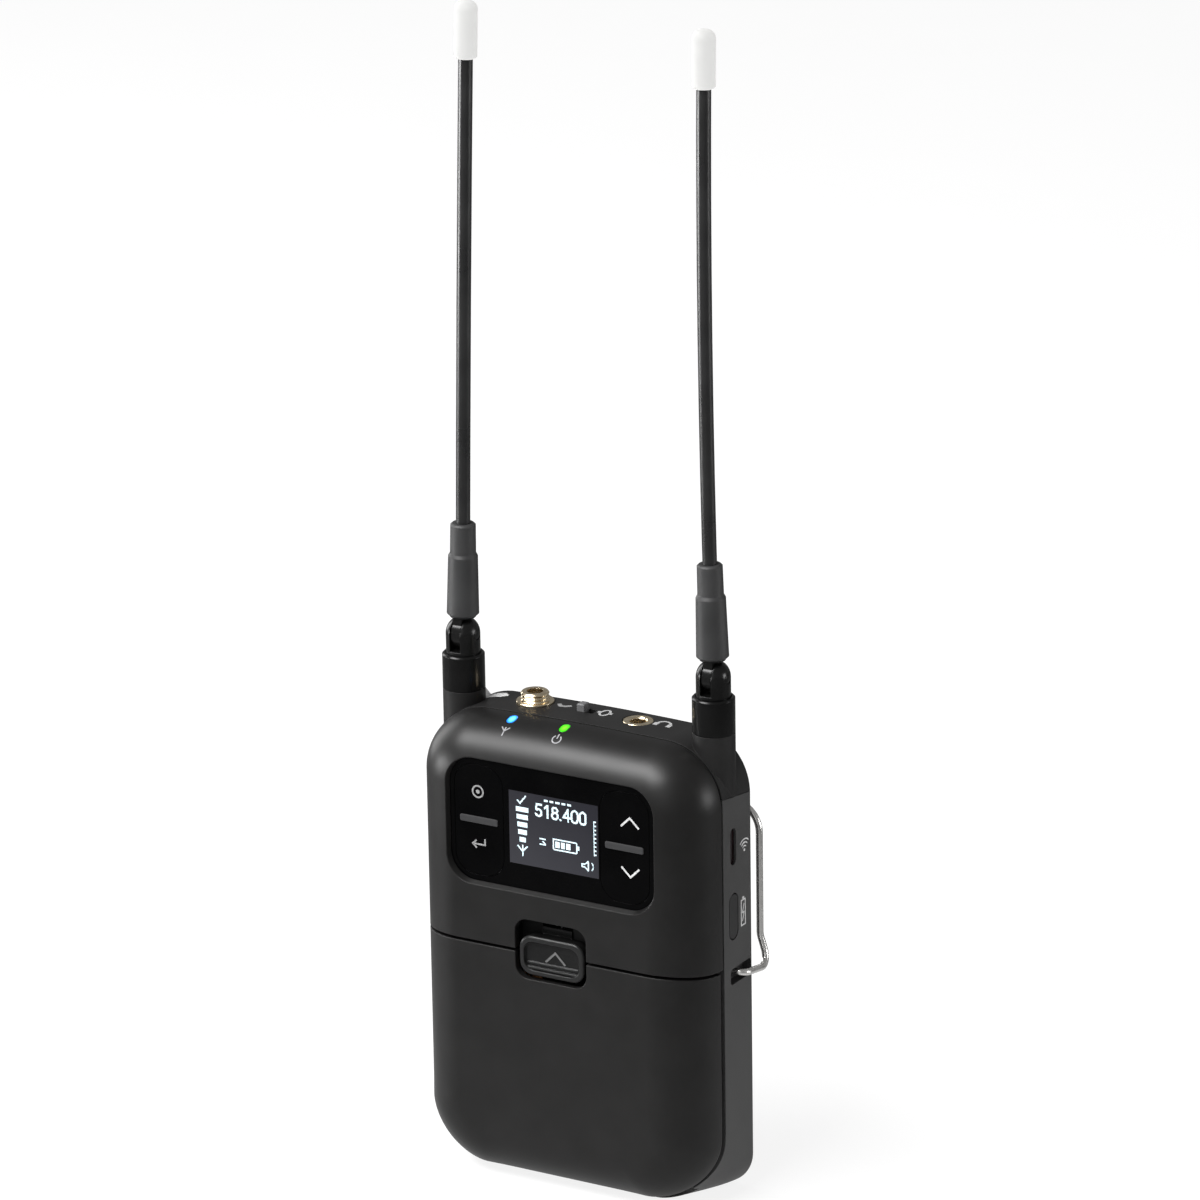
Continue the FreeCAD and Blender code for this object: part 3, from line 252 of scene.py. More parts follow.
def add_piece(name, mesh, finish):
    """A new object with its finish from a mesh that is being built."""
    data = bpy.data.meshes.new(name)
    mesh.to_mesh(data)
    mesh.free()
    piece = bpy.data.objects.new(name, data)
    bpy.context.scene.collection.objects.link(piece)
    data.materials.append(finish)
    return piece


def arc(cx, cy, radius, start, end, steps=18):
    """Points along an arc in degrees, counted from the right and turning upwards."""
    turns = [math.radians(start + (end - start) * k / steps) for k in range(steps + 1)]
    return [(cx + radius * math.cos(t), cy + radius * math.sin(t)) for t in turns]


def finer(line, step):
    """The same line with a point at least every step."""
    points = [Vector(line[0])]
    for start, end in zip(line, line[1:]):
        start, end = Vector(start), Vector(end)
        count = max(1, math.ceil((end - start).length / step))
        points += [start.lerp(end, k / count) for k in range(1, count + 1)]
    return points


def stroke_edges(points, width):
    """The two edges of a stroke at each point, mitred at turns and joined where it closes."""
    closed = (points[0] - points[-1]).length < 1e-6
    edges = []
    for k, here in enumerate(points):
        before = points[k - 1] if k else (points[-2] if closed else here)
        after = points[k + 1] if k + 1 < len(points) else (points[1] if closed else here)
        way_in, way_out = here - before, after - here
        if way_in.length < 1e-9:
            way_in = way_out
        if way_out.length < 1e-9:
            way_out = way_in
        way_in, way_out = way_in.normalized(), way_out.normalized()
        side = Vector((-(way_in + way_out).y, (way_in + way_out).x)).normalized()
        reach = width / 2 / max(SHARPEST, side.dot(Vector((-way_in.y, way_in.x))))
        edges.append((here - side * reach, here + side * reach))
    return edges


def printed_mark(name, strokes, onto, body, middle, across, up, finish):
    """Print strokes (points, width) in millimetres round a point, pressed on to a piece."""
    across, up = Vector(across).normalized(), Vector(up).normalized()
    outward = across.cross(up)
    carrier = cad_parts[onto].data
    surface = BVHTree.FromPolygons([v.co for v in carrier.vertices],
                                   [p.vertices for p in carrier.polygons])
    mesh = bmesh.new()
    for line, width in strokes:
        rails = []
        for edges in stroke_edges(finer(line, INK_STEP), width):
            rail = []
            for flat in edges:
                spot = middle + across * (flat.x * MM) + up * (flat.y * MM)
                hit, normal, _, _ = surface.ray_cast(spot + outward * PRESS_FROM, -outward)
                if hit is None:
                    hit, normal = spot, outward
                if normal.dot(outward) <= 0:
                    normal = -normal
                rail.append(mesh.verts.new(hit + normal * INK_PROUD))
            rails.append(rail)
        for (a, b), (c, d) in zip(rails, rails[1:]):
            mesh.faces.new((a, c, d, b))
    piece = add_piece(name, mesh, finish)
    for face in piece.data.polygons:
        face.use_smooth = True
    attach(piece, body)


def on_front(x, z):
    """A point on the panel's front, in millimetres."""
    return Vector((x * MM, panel_front, z * MM))


key_ink = ink("pale_key_ink", grey(0.36), grey(0.5))
key_dim_ink = ink("grey_key_ink", grey(0.16), grey(0.24))
chevron_up = [(((-2.1, -1.0), (0, 1.05), (2.1, -1.0)), 0.42)]
chevron_down = [(((-2.1, 1.0), (0, -1.05), (2.1, 1.0)), 0.42)]
select_ring = [(arc(0, 0, 1.25, 0, 360, 28), 0.36), (arc(0, 0, 0.22, 0, 360, 10), 0.44)]
return_arrow = [(((1.5, 1.0), (1.5, -0.35), (-1.3, -0.35)), 0.36),
                (((-0.55, 0.5), (-1.45, -0.35), (-0.55, -1.2)), 0.36)]
for mark, strokes, key, x, z, mark_ink in (
        ("right_key_up_mark", chevron_up, "right_key", 18.6, 85.7, key_ink),
        ("right_key_down_mark", chevron_down, "right_key", 18.6, 74.9, key_ink),
        ("left_key_select_mark", select_ring, "left_key", -17.5, 86.3, key_dim_ink),
        ("left_key_return_mark", return_arrow, "left_key", -17.5, 75.1, key_dim_ink)):
    printed_mark(mark, strokes, key, key, on_front(x, z), RIGHT, UP, mark_ink)

# ---- Display
# A small backlit graphic display behind a clear window set flush in the panel. Lit cells show the
# signal bars, the tuned frequency in plain figures, a battery gauge and an audio meter.

window_low, window_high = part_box("display_window")
window_size = [window_high[k] - window_low[k] for k in range(3)]
glass, glass_tree, glass_shader = new_finish("display_glass")
glow_patch = grain_noise(glass_tree, 90, 2)
tint_between(glass_tree, glass_shader, glow_patch, dark=(0.006, 0.006, 0.008, 1),
             light=(0.008, 0.008, 0.010, 1))
gloss_between(glass_tree, glass_shader, glow_patch, 0.06, 0.1)
glass_shader.inputs["Specular IOR Level"].default_value = 0.1
# The backlight is brightest at the window's lower left and fades towards its upper right.
backlight = glass_tree.nodes.new("ShaderNodeValToRGB")
backlight.color_ramp.elements[0].color = (0.050, 0.050, 0.056, 1)
backlight.color_ramp.elements[1].color = (0.016, 0.016, 0.020, 1)
glow_place = glass_tree.nodes.new("ShaderNodeTexCoord")
glow_fall = glass_tree.nodes.new("ShaderNodeMapping")
glow_fall.inputs["Location"].default_value = [-window_low[k] / window_size[k] for k in range(3)]
glow_fall.inputs["Scale"].default_value = [1 / window_size[k] for k in range(3)]
glow_lean = glass_tree.nodes.new("ShaderNodeVectorMath")
glow_lean.operation = "DOT_PRODUCT"
glow_lean.inputs[1].default_value = (0.35, 0, 0.65)
glass_tree.links.new(glow_place.outputs["Object"], glow_fall.inputs["Vector"])
glass_tree.links.new(glow_fall.outputs["Vector"], glow_lean.inputs[0])
glass_tree.links.new(glow_lean.outputs["Value"], backlight.inputs["Fac"])
glass_tree.links.new(backlight.outputs["Color"], glass_shader.inputs["Emission Color"])
glass_shader.inputs["Emission Strength"].default_value = 0.9
dress(glass, "display_window")

# Sizes and places on the display are in millimetres from the window's top left corner.
CELL = 0.15
COLUMNS, ROWS = 140, 105
CELL_GAP = 0.04  # the dark gap round a lit cell, as a share of the cell
FIGURES = {
    "0": [arc(0.5, 1.2, 0.42, 0, 180, 8) + arc(0.5, 0.5, 0.42, 180, 360, 8) + [(0.92, 1.2)]],
    "1": [[(0.2, 1.3), (0.6, 1.65), (0.6, 0.08)]],
    "4": [[(0.72, 0.08), (0.72, 1.62), (0.05, 0.55), (0.98, 0.55)]],
    "5": [[(0.88, 1.62), (0.2, 1.62), (0.14, 0.95)] + arc(0.46, 0.56, 0.44, 125, -150, 10)],
    "8": [arc(0.5, 1.24, 0.36, -90, 270, 12), arc(0.5, 0.5, 0.42, -90, 270, 12)],
    ".": [[(0.1, 0.12), (0.16, 0.12)]],
}
FIGURE_PITCH, POINT_PITCH = 1.16, 0.5  # as shares of a figure's size
lit_cells = set()


def light_line(line, width):
    """Light the cells along a line."""
    points = [Vector(p) for p in line]
    for column in range(COLUMNS):
        for row in range(ROWS):
            cell = Vector(((column + 0.5) * CELL, (row + 0.5) * CELL))
            for a, b in zip(points, points[1:]):
                run = b - a
                share = (cell - a).dot(run) / run.length_squared if run.length > 1e-9 else 0
                if (a + run * max(0, min(1, share)) - cell).length <= width / 2:
                    lit_cells.add((column, row))
                    break


def light_box(left, top, right, bottom):
    """Light the cells of a filled box."""
    for column in range(int(left / CELL), int(right / CELL)):
        for row in range(int(top / CELL), int(bottom / CELL)):
            lit_cells.add((column, row))


def light_figures(text, left, base, size, width):
    """Light a row of figures from left to right."""
    for figure in text:
        for line in FIGURES[figure]:
            light_line([(left + u * size, base - v * size) for u, v in line], width)
        left += size * (POINT_PITCH if figure == "." else FIGURE_PITCH)


# The tuned frequency, with a row of dashes over it.
light_figures("518.400", 6.3, 4.75, 1.66, 0.44)
for left in (8.4, 9.8, 11.2, 12.6, 14.0):
    light_box(left, 0.75, left + 0.95, 1.25)

# Signal bars that narrow downwards, between a tick and an aerial sign.
for step, half in enumerate((1.5, 1.35, 1.2, 1.05, 0.8)):
    light_box(3.2 - half, 3.35 + 1.66 * step, 3.2 + half, 4.35 + 1.66 * step)
light_line([(2.1, 1.9), (2.7, 2.5), (4.0, 0.8)], 0.3)
light_line([(2.0, 11.9), (3.1, 13.0), (4.2, 11.9)], 0.32)
light_line([(3.1, 11.7), (3.1, 13.9)], 0.32)

# A small arrow, and the battery gauge with its three blocks and its pole.
light_line([(7.3, 10.6), (8.6, 10.6), (8.0, 10.0)], 0.3)
light_line([(7.3, 9.5), (8.6, 9.5)], 0.3)
light_line([(10.5, 9.0), (16.0, 9.0), (16.0, 11.2), (10.5, 11.2), (10.5, 9.0)], 0.26)
light_box(16.1, 9.7, 16.7, 10.5)
for left in (11.05, 12.3, 13.55):
    light_box(left, 9.45, left + 1.0, 10.8)

# The audio meter's scale, and a loudspeaker sign under it.
light_box(20.1, 3.5, 20.35, 11.2)
for step in range(9):
    light_box(20.35, 3.5 + 0.9 * step, 20.8, 3.8 + 0.9 * step)
light_line([(17.2, 13.2), (17.9, 13.2), (18.7, 12.5), (18.7, 14.5), (17.9, 13.8), (17.2, 13.8),
            (17.2, 13.2)], 0.3)
light_line(arc(18.9, 13.5, 1.0, -50, 50, 8), 0.26)

readout = bmesh.new()
near, far = CELL_GAP, 1 - CELL_GAP
for column, row in sorted(lit_cells):
    corners = []
    for du, dv in ((near, near), (far, near), (far, far), (near, far)):
        x = window_low[0] + (column + du) * CELL * MM
        z = window_high[2] - (row + dv) * CELL * MM
        corners.append(readout.verts.new((x, window_low[1] - 0.02 * MM, z)))
    readout.faces.new(corners)
lit_ink = ink("lit_display_cells", (0.42, 0.56, 0.62, 1), (0.56, 0.68, 0.72, 1), glow=0.62)
readout_piece = add_piece("display_readout", readout, lit_ink)
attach(readout_piece, "case")

# ---- Latch
# The battery door's slide latch: a satin moulding with a rounded rim round a sunk glossy field. A
# steel coil spring pushes it down, a moulded housing behind the front shell guides it, and its hook
# holds the door.

latch_low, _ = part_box("door_latch")
latch_front = latch_low[1]
latch_satin = satin_finish("latch_plastic", dark=grey(0.003), light=grey(0.006), gloss=(0.2, 0.26),
                           specular=0.3, grain=3600, height=0.001 * MM, soft_edge=0.4 * MM)
ahead_of(latch_satin, latch_front + 0.6 * MM, tint=grey(0.011), gloss=0.28)
latch_well = satin_finish("latch_housing_plastic", dark=grey(0.002), light=grey(0.004),
                          gloss=(0.5, 0.6), specular=0.15)
dress(latch_satin, "door_latch")
dress(latch_well, "latch_housing")
dress(screw_steel, "latch_spring")

# A copy of the coil, with a mesh of its own, rides with the case in place of the carried-over
# spring.
coil_piece = bpy.data.objects.new("latch_spring_coil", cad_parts["latch_spring"].data.copy())
bpy.context.scene.collection.objects.link(coil_piece)
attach(coil_piece, "case")
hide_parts("latch_spring")
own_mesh(coil_piece)

latch_chevron = [(((-2.35, -1.15), (0, 1.2), (2.35, -1.15)), 0.46)]
printed_mark("latch_chevron", latch_chevron, "door_latch", "door_latch",
             Vector((0.6 * MM, latch_front, 52.8 * MM)), RIGHT, UP,
             ink("grey_latch_ink", grey(0.075), grey(0.11)))

# ---- Indicator lights
# Two oval light windows pressed into the top shoulder: a blue one for the radio link and a green
# one for power. Each has an emitter on a small board behind it, and its mark is printed under it.


def lens_light(name, node, rim, heart, glow):
    """Tinted clear moulding lit from behind, brightest in its middle and deeper towards its rim."""
    finish, tree, shader = new_finish(name)
    low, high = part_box(node)
    place = tree.nodes.new("ShaderNodeTexCoord")
    centred = tree.nodes.new("ShaderNodeMapping")
    centred.vector_type = "TEXTURE"
    centred.inputs["Location"].default_value = [(low[k] + high[k]) / 2 for k in range(3)]
    centred.inputs["Scale"].default_value = [(high[0] - low[0]) / 2, (high[1] - low[1]) / 2, 1]
    reach = tree.nodes.new("ShaderNodeVectorMath")
    reach.operation = "LENGTH"
    fade = tree.nodes.new("ShaderNodeValToRGB")
    fade.color_ramp.elements[0].position = 0.25
    fade.color_ramp.elements[0].color = heart
    fade.color_ramp.elements[1].position = 0.95
    fade.color_ramp.elements[1].color = rim
    tree.links.new(place.outputs["Object"], centred.inputs["Vector"])
    tree.links.new(centred.outputs["Vector"], reach.inputs[0])
    tree.links.new(reach.outputs["Value"], fade.inputs["Fac"])
    tree.links.new(fade.outputs["Color"], shader.inputs["Base Color"])
    tree.links.new(fade.outputs["Color"], shader.inputs["Emission Color"])
    patch = grain_noise(tree, 700, 2)
    gloss_between(tree, shader, patch, 0.12, 0.2)
    raised_grain(tree, shader, patch, height=0.001 * MM, soft_edge=0.2 * MM)
    shader.inputs["Specular IOR Level"].default_value = 0.25
    shader.inputs["Emission Strength"].default_value = glow
    dress(finish, node)


lens_light("blue_light_window", "link_light_window", rim=(0.01, 0.13, 0.58, 1),
           heart=(0.14, 0.74, 1.0, 1), glow=0.8)
lens_light("green_light_window", "power_light_window", rim=(0.02, 0.30, 0.004, 1),
           heart=(0.13, 0.80, 0.02, 1), glow=0.75)
lens_light("emitter_resin", "light_emitters", rim=(0.5, 0.5, 0.45, 1),
           heart=(0.7, 0.7, 0.62, 1), glow=0.1)

shoulder_ink = ink("shoulder_ink", (0.22, 0.22, 0.23, 1), (0.32, 0.32, 0.33, 1))
UP_SHOULDER = Vector((0, 0.62, 0.78)).normalized()
aerial_mark = [(((0, -1.1), (0, 1.1)), 0.26), (((-0.95, 1.1), (0, 0.1), (0.95, 1.1)), 0.26)]
power_mark = [(arc(0, 0, 0.95, 125, 415, 26), 0.28), (((0, 0.15), (0, 1.3)), 0.28)]
for mark, strokes, place in (("link_light_mark", aerial_mark, (-13.3, -6.4, 98.4)),
                             ("power_light_mark", power_mark, (-0.85, -6.4, 98.9))):
    printed_mark(mark, strokes, "front_shell", "case", Vector(place) * MM, RIGHT, UP_SHOULDER,
                 shoulder_ink)

# ---- Output socket, headphone socket and power switch
# The threaded socket and its flange are turned in brass and gold plated, as is the flush ring of
# the headphone socket. A plain slide knob stands between them in a slot. Each has a printed mark.

gold_plate = drawn_metal("champagne_gold_plate",
                         dark=(0.72, 0.59, 0.40, 1), light=(0.88, 0.77, 0.57, 1),
                         gloss=(0.18, 0.3), stretch=(1, 1, 6), scale=700)
inner_black = satin_finish("inner_black_plastic", dark=grey(0.012), light=grey(0.02),
                           gloss=(0.45, 0.58), specular=0.3)
knob_plastic = satin_finish("grey_knob_plastic",
                            dark=(0.10, 0.10, 0.103, 1), light=(0.15, 0.15, 0.153, 1),
                            gloss=(0.35, 0.45), specular=0.4)
dress(gold_plate, "output_bushing", "output_flange", "phones_ring")
dress(inner_black, "output_jack_body", "phones_jack_body", "power_switch_body")
dress(knob_plastic, "power_switch_knob")

BACK = (0, 1, 0)
cap_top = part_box("top_cap")[1][2]


def on_top(x, y):
    """A point on the top cap, in millimetres."""
    return Vector((x * MM, y * MM, cap_top))


top_ink = ink("white_top_ink", grey(0.6), grey(0.74))
top_dim_ink = ink("grey_top_ink", grey(0.16), grey(0.24))
top_mid_ink = ink("pale_top_ink", grey(0.27), grey(0.38))
line_out_mark = [(((-2.9, 0), (2.0, 0)), 2.7), (((2.0, 0), (2.45, 0)), 1.6),
                 (((2.45, 0), (2.9, 0)), 0.8)]
off_mark = [(((-1.5, 0.7), (-0.6, -0.4), (0.5, -0.2), (1.5, 0.6)), 0.9)]
on_ring = [(x, 1.7 * y) for x, y in arc(0, 0, 0.95, 0, 360, 22)]
on_mark = [(on_ring, 0.5), (((-1.7, 0), (-0.95, 0)), 0.9), (((0.95, 0), (1.7, 0)), 0.9)]
head_band = [(x, 1.1 * y) for x, y in arc(0, 0, 1.5, 0, 180, 18)]
phones_mark = [(head_band, 0.55), (((-1.5, 0.4), (-1.5, -1.1)), 1.0),
               (((1.5, 0.4), (1.5, -1.1)), 1.0)]
for mark, strokes, x, y, mark_ink in (
        ("line_out_mark", line_out_mark, -24.2, 8.2, top_ink),
        ("switch_off_mark", off_mark, -7.4, 7.4, top_dim_ink),
        ("switch_on_mark", on_mark, 2.4, 7.4, top_mid_ink),
        ("phones_mark", phones_mark, 16.2, 7.4, top_mid_ink)):
    printed_mark(mark, strokes, "top_cap", "case", on_top(x, y), RIGHT, BACK, mark_ink)

# ---- Boards, cells and contacts
# Behind the panel and the door: green boards with tinned cans, the display's module, and a moulded
# tray that holds two cells between plated contacts. They show when the door hangs open.

board_green = satin_finish("solder_mask_green",
                           dark=(0.006, 0.05, 0.022, 1), light=(0.012, 0.085, 0.038, 1),
                           gloss=(0.25, 0.4), specular=0.5, grain=1600, height=0.01 * MM)
tinned = drawn_metal("tinned_sheet_steel", dark=(0.55, 0.55, 0.53, 1), light=(0.68, 0.68, 0.66, 1),
                     gloss=(0.28, 0.4))
spring_wire = drawn_metal("spring_wire_steel", dark=grey(0.45), light=grey(0.62), gloss=(0.2, 0.3),
                          stretch=(1, 1, 0.2))
dress(board_green, "control_board", "main_board")
dress(tinned, "radio_shield", "audio_shield", "key_switches", "charge_port")
dress(inner_black, "display_module", "battery_tray", "infrared_module")
dress(spring_wire, "battery_terminals", "battery_bridge", "battery_springs")


def cell_jacket(name, band_start, band_end):
    """A cell's printed jacket: dark grey with a copper band at its positive end."""
    finish, tree, shader = new_finish(name)
    place = tree.nodes.new("ShaderNodeTexCoord")
    split = tree.nodes.new("ShaderNodeSeparateXYZ")
    tree.links.new(place.outputs["Object"], split.inputs["Vector"])
    ramp = tree.nodes.new("ShaderNodeValToRGB")
    ramp.color_ramp.interpolation = "CONSTANT"
    reach = tree.nodes.new("ShaderNodeMapRange")
    reach.inputs["From Min"].default_value = band_start
    reach.inputs["From Max"].default_value = band_end
    tree.links.new(split.outputs["Z"], reach.inputs["Value"])
    tree.links.new(reach.outputs["Result"], ramp.inputs["Fac"])
    ramp.color_ramp.elements[0].color = (0.05, 0.052, 0.056, 1)
    ramp.color_ramp.elements[1].position = 0.5
    ramp.color_ramp.elements[1].color = (0.46, 0.22, 0.10, 1)
    tree.links.new(ramp.outputs["Color"], shader.inputs["Base Color"])
    fine = grain_noise(tree, 1200, 3)
    gloss_between(tree, shader, fine, 0.22, 0.34)
    raised_grain(tree, shader, fine, height=0.002 * MM, soft_edge=0.3 * MM)
    shader.inputs["Metallic"].default_value = 0.6
    return finish


# One cell stands with its positive end up and the other with it down. The copper band fills the
# outer half of this span.
BAND_SPAN = 30 * MM
left_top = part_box("battery_left")[1][2]
right_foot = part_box("battery_right")[0][2]
dress(cell_jacket("left_cell_jacket", left_top - BAND_SPAN, left_top), "battery_left")
dress(cell_jacket("right_cell_jacket", right_foot + BAND_SPAN, right_foot), "battery_right")

# ---- Right side ports
# A dark red infrared window sits in a round-ended slot, and below it a soft rubber cover plugs the
# charging port. Each has a small printed mark beside it on the rear shell.

infrared_red = satin_finish("infrared_filter",
                            dark=(0.004, 0.0015, 0.002, 1), light=(0.007, 0.002, 0.003, 1),
                            gloss=(0.08, 0.14), specular=0.4, grain=900, height=0.0005 * MM)
cover_rubber = satin_finish("port_cover_rubber",
                            dark=(0.014, 0.014, 0.0145, 1), light=(0.022, 0.022, 0.0225, 1),
                            gloss=(0.5, 0.62), specular=0.3, grain=6000, height=0.005 * MM,
                            soft_edge=0.3 * MM)
dress(infrared_red, "infrared_window")
dress(cover_rubber, "charge_port_cover")
case_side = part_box("rear_shell")[1][0]


def on_side(y, z):
    """A point on the case's right side, in millimetres."""
    return Vector((case_side, y * MM, z * MM))


side_ink = ink("side_ink", grey(0.42), grey(0.56))
infrared_mark = [(arc(0, -1.2, 0.16, 0, 360, 10), 0.34), (arc(0, -1.2, 0.9, 40, 140, 10), 0.28),
                 (arc(0, -1.2, 1.65, 42, 138, 14), 0.28), (arc(0, -1.2, 2.4, 44, 136, 18), 0.28)]
charge_mark = [(((-0.85, -3.1), (0.85, -3.1), (0.85, 2.4), (-0.85, 2.4), (-0.85, -3.1)), 0.3),
               (((-0.4, 2.85), (0.4, 2.85)), 0.5),
               (((0.35, 1.5), (-0.35, -0.35), (0.35, -0.35), (-0.35, -2.2)), 0.3)]
for mark, strokes, y, z in (("infrared_mark", infrared_mark, 8.8, 77.3),
                            ("charge_mark", charge_mark, 8.1, 63.0)):
    printed_mark(mark, strokes, "rear_shell", "case", on_side(y, z), BACK, UP, side_ink)

# ---- Belt clip
# One length of bright stainless spring wire, bent to a frame whose two inturned ends spring into
# slots in the case's sides. It swings out on those ends to go over a belt.

clip_wire = drawn_metal("bright_clip_wire",
                        dark=(0.80, 0.79, 0.77, 1), light=(0.88, 0.87, 0.85, 1),
                        gloss=(0.24, 0.3), scale=500, height=0.0002 * MM)
dress(clip_wire, "belt_clip")

# ---- Aerials
# Two whips on swivelling bases: a glossy collar, a forked hinge and its tongue in black anodised
# aluminium, a moulded rubber sleeve, a rubber-covered wire and an end cap in translucent white
# plastic, pushed on. A steel clip under each boss keeps the base in.

collar_plastic = satin_finish("collar_plastic", dark=grey(0.003), light=grey(0.005),
                              gloss=(0.18, 0.24), specular=0.2, grain=2600, height=0.001 * MM,
                              soft_edge=0.3 * MM)
joint_black = satin_finish("anodised_joint", dark=grey(0.003), light=grey(0.006),
                           gloss=(0.2, 0.28), specular=0.28, grain=2600, height=0.002 * MM,
                           soft_edge=0.3 * MM)
sleeve_rubber = satin_finish("sleeve_rubber",
                             dark=(0.020, 0.020, 0.0205, 1), light=(0.028, 0.028, 0.0285, 1),
                             gloss=(0.46, 0.56), specular=0.4, grain=5000, height=0.005 * MM,
                             soft_edge=0.3 * MM)
whip_rubber = satin_finish("whip_rubber",
                           dark=(0.008, 0.008, 0.0082, 1), light=(0.012, 0.012, 0.0122, 1),
                           gloss=(0.26, 0.34), specular=0.55, grain=3000)
tip_plastic = satin_finish("white_tip_plastic",
                           dark=(0.12, 0.12, 0.118, 1), light=(0.14, 0.14, 0.138, 1),
                           gloss=(0.4, 0.5), specular=0.1, grain=2000, height=0.002 * MM,
                           soft_edge=0.3 * MM)
# Light scatters a few millimetres deep in the cap; a painted glow on top makes it look lit within.
tip_shader = tip_plastic.node_tree.nodes["Principled BSDF"]
tip_shader.inputs["Emission Color"].default_value = (1.0, 1.0, 0.985, 1)
tip_shader.inputs["Emission Strength"].default_value = 0.6
tip_shader.inputs["Subsurface Weight"].default_value = 1.0
tip_shader.inputs["Subsurface Radius"].default_value = (1.0, 1.0, 1.0)
tip_shader.inputs["Subsurface Scale"].default_value = 2.5 * MM
for hand in ("left", "right"):
    dress(collar_plastic, hand + "_aerial_collar")
    dress(joint_black, hand + "_aerial_fork", hand + "_aerial_tongue", hand + "_aerial_pin")
    dress(spring_wire, hand + "_aerial_retainer")
    dress(sleeve_rubber, hand + "_aerial_sleeve")
    dress(whip_rubber, hand + "_aerial_whip")
    dress(tip_plastic, hand + "_aerial_tip")

# ---- Floor
# A seamless sheet of pale paper under the pack, near white to the eye, that keeps the pack's soft
# shadow. In reflections it is a pool of light round the pack that fades outwards.

FLOOR_HALF = 5.0
WHITE_GLOW = 1.06
POOL_NEAR, POOL_FAR = 40 * MM, 220 * MM
POOL_BRIGHT, POOL_DIM = 0.64, 0.08
floor_finish, floor_tree, floor_shader = new_finish("pale_paper")
paper = grain_noise(floor_tree, 30, 3)
tint_between(floor_tree, floor_shader, paper, dark=grey(0.80), light=grey(0.82))
floor_shader.inputs["Roughness"].default_value = 0.9
floor_shader.inputs["Specular IOR Level"].default_value = 0.0

# How much of the paper is glow, to the eye and in reflections. The rest takes light and shadow.
seen = floor_tree.nodes.new("ShaderNodeLightPath")
part_seen = floor_tree.nodes.new("ShaderNodeMath")
part_seen.operation = "MAXIMUM"
for k, (ray, share) in enumerate((("Is Camera Ray", 0.8), ("Is Glossy Ray", 0.9))):
    part = floor_tree.nodes.new("ShaderNodeMath")
    part.operation = "MULTIPLY"
    part.inputs[1].default_value = share
    floor_tree.links.new(seen.outputs[ray], part.inputs[0])
    floor_tree.links.new(part.outputs[0], part_seen.inputs[k])

# How bright the glow is: one white to the eye, and the fading pool in reflections.
floor_place = floor_tree.nodes.new("ShaderNodeTexCoord")
reach_out = floor_tree.nodes.new("ShaderNodeVectorMath")
reach_out.operation = "LENGTH"
light_pool = floor_tree.nodes.new("ShaderNodeMapRange")
light_pool.inputs["From Min"].default_value = POOL_NEAR
light_pool.inputs["From Max"].default_value = POOL_FAR
light_pool.inputs["To Min"].default_value = POOL_BRIGHT
light_pool.inputs["To Max"].default_value = POOL_DIM
glow_level = floor_tree.nodes.new("ShaderNodeMix")
glow_level.inputs["B"].default_value = WHITE_GLOW
white_glow = floor_tree.nodes.new("ShaderNodeEmission")
white_glow.inputs["Color"].default_value = grey(1)
floor_tree.links.new(floor_place.outputs["Object"], reach_out.inputs[0])
floor_tree.links.new(reach_out.outputs["Value"], light_pool.inputs["Value"])
floor_tree.links.new(seen.outputs["Is Camera Ray"], glow_level.inputs["Factor"])
floor_tree.links.new(light_pool.outputs["Result"], glow_level.inputs["A"])
floor_tree.links.new(glow_level.outputs["Result"], white_glow.inputs["Strength"])

floor_mix = floor_tree.nodes.new("ShaderNodeMixShader")
floor_output = next(n for n in floor_tree.nodes if n.type == "OUTPUT_MATERIAL")
floor_tree.links.new(part_seen.outputs[0], floor_mix.inputs["Fac"])
floor_tree.links.new(floor_shader.outputs["BSDF"], floor_mix.inputs[1])
floor_tree.links.new(white_glow.outputs["Emission"], floor_mix.inputs[2])
floor_tree.links.new(floor_mix.outputs["Shader"], floor_output.inputs["Surface"])

floor_mesh = bmesh.new()
bmesh.ops.create_grid(floor_mesh, x_segments=24, y_segments=24, size=FLOOR_HALF)
floor = add_piece("studio_floor", floor_mesh, floor_finish)

# ---- Studio light
# A pale surround and five soft boxes: a wide one overhead and to the left, one at each side behind
# for the edges, a weak one in front, and a small low one at the front left.

world = bpy.data.worlds.new("studio")
bpy.context.scene.world = world
world.use_nodes = True
sky = world.node_tree
sky.nodes.clear()
sky_out = sky.nodes.new("ShaderNodeOutputWorld")
sky_path = sky.nodes.new("ShaderNodeLightPath")
sky_mix = sky.nodes.new("ShaderNodeMixShader")
sky.links.new(sky_path.outputs["Is Camera Ray"], sky_mix.inputs["Fac"])
sky.links.new(sky_mix.outputs["Shader"], sky_out.inputs["Surface"])
# The surround gives a quarter of its light to the pack and is plain white to the eye.
for socket, strength in ((1, 0.24), (2, 1.0)):
    sky_glow = sky.nodes.new("ShaderNodeBackground")
    sky_glow.inputs["Color"].default_value = grey(1)
    sky_glow.inputs["Strength"].default_value = strength
    sky.links.new(sky_glow.outputs["Background"], sky_mix.inputs[socket])

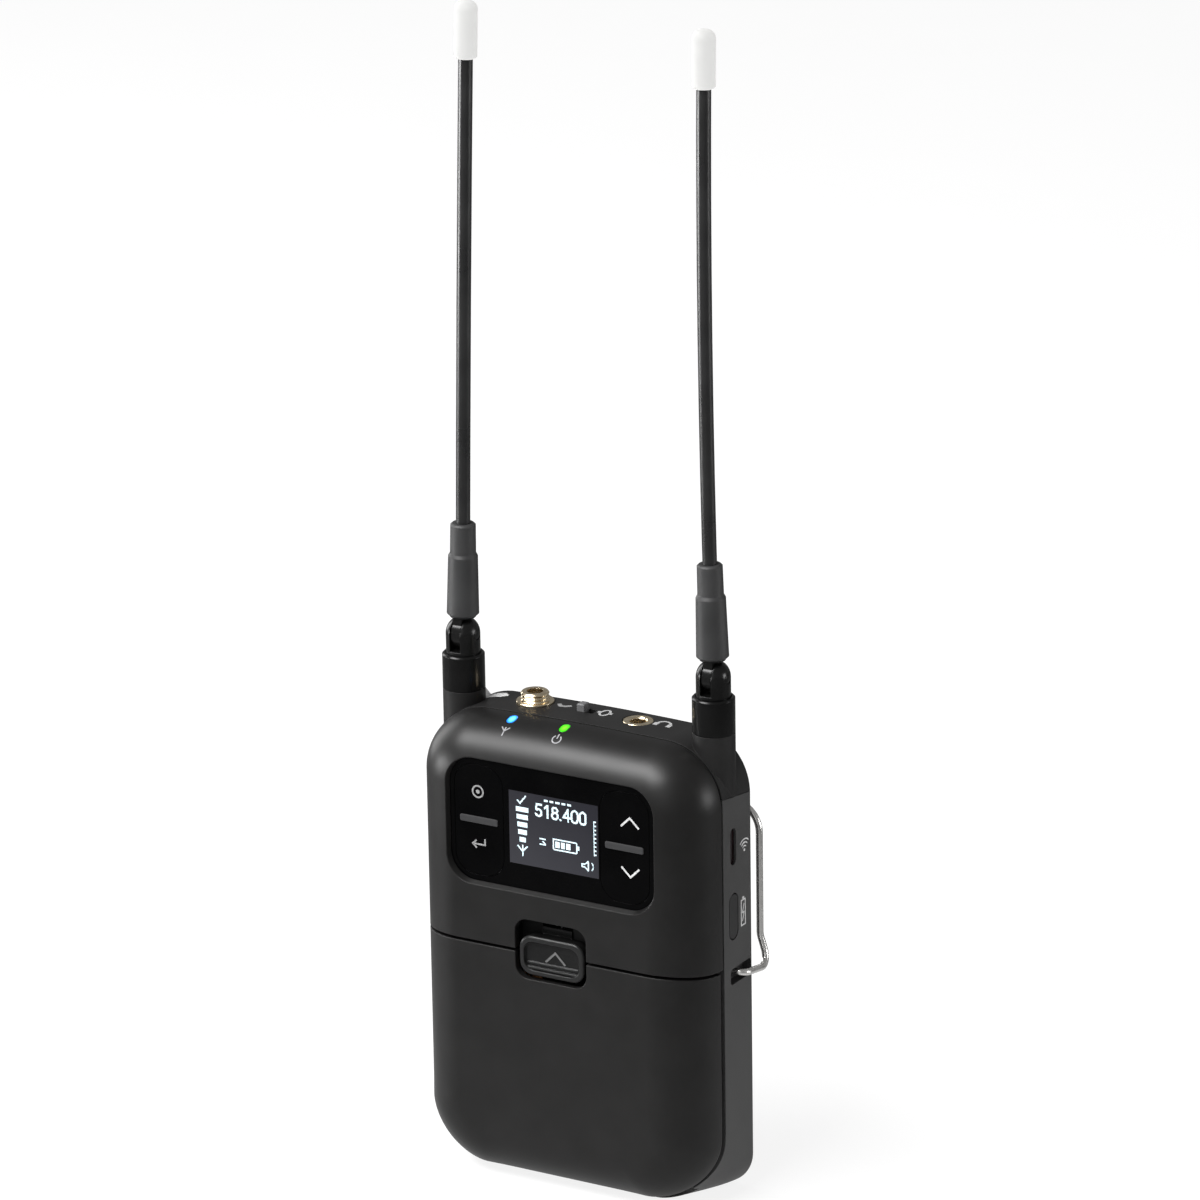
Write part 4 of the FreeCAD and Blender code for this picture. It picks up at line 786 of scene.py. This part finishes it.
pack_middle = Vector((0, 0, 81)) * MM
for name, place, width, height, power in (
        ("overhead_box", (-0.34, -0.58, 1.0), 1.0, 0.42, 27),
        ("left_edge_box", (-1.0, 0.25, 0.25), 0.4, 0.9, 5),
        ("right_edge_box", (1.05, 0.38, 0.08), 0.4, 0.6, 6.5),
        ("front_box", (0.3, -1.3, 0.5), 0.8, 0.8, 1.5),
        ("left_front_box", (-0.62, -0.3, 0.04), 0.3, 0.2, 3.6)):
    lamp = bpy.data.lights.new(name, "AREA")
    lamp.shape = "RECTANGLE"
    lamp.size = width
    lamp.size_y = height
    lamp.energy = power
    soft_box = bpy.data.objects.new(name, lamp)
    soft_box.location = place
    soft_box.rotation_mode = "QUATERNION"
    soft_box.rotation_quaternion = (pack_middle - Vector(place)).to_track_quat("-Z", "Y")
    bpy.context.scene.collection.objects.link(soft_box)

# ---- Camera
# A long lens, a little above the pack and to the right of its front. It stands 1.4 m away and is
# rolled by about a degree.

AZIMUTH, ELEVATION, ROLL = math.radians(30.504), math.radians(18.559), math.radians(0.901)
DISTANCE = 1.3817
LOOK_AT = Vector((5.981, 0, 128.324)) * MM
view_way = Vector((-math.sin(AZIMUTH) * math.cos(ELEVATION),
                   math.cos(AZIMUTH) * math.cos(ELEVATION), -math.sin(ELEVATION)))
level = Vector((math.cos(AZIMUTH), math.sin(AZIMUTH), 0))
upward = level.cross(view_way)
camera_x = level * math.cos(ROLL) - upward * math.sin(ROLL)
camera_y = level * math.sin(ROLL) + upward * math.cos(ROLL)
turned = Matrix((camera_x, camera_y, -view_way)).transposed().to_4x4()
camera_data = bpy.data.cameras.new("portrait_camera")
camera_data.sensor_width = 36.0
camera_data.lens = 203.64
camera_data.clip_start = 0.05
camera_data.clip_end = 50.0
camera = bpy.data.objects.new("portrait_camera", camera_data)
camera.matrix_world = Matrix.Translation(LOOK_AT - view_way * DISTANCE) @ turned
bpy.context.scene.collection.objects.link(camera)
bpy.context.scene.camera = camera
bpy.context.scene.view_settings.view_transform = "Standard"
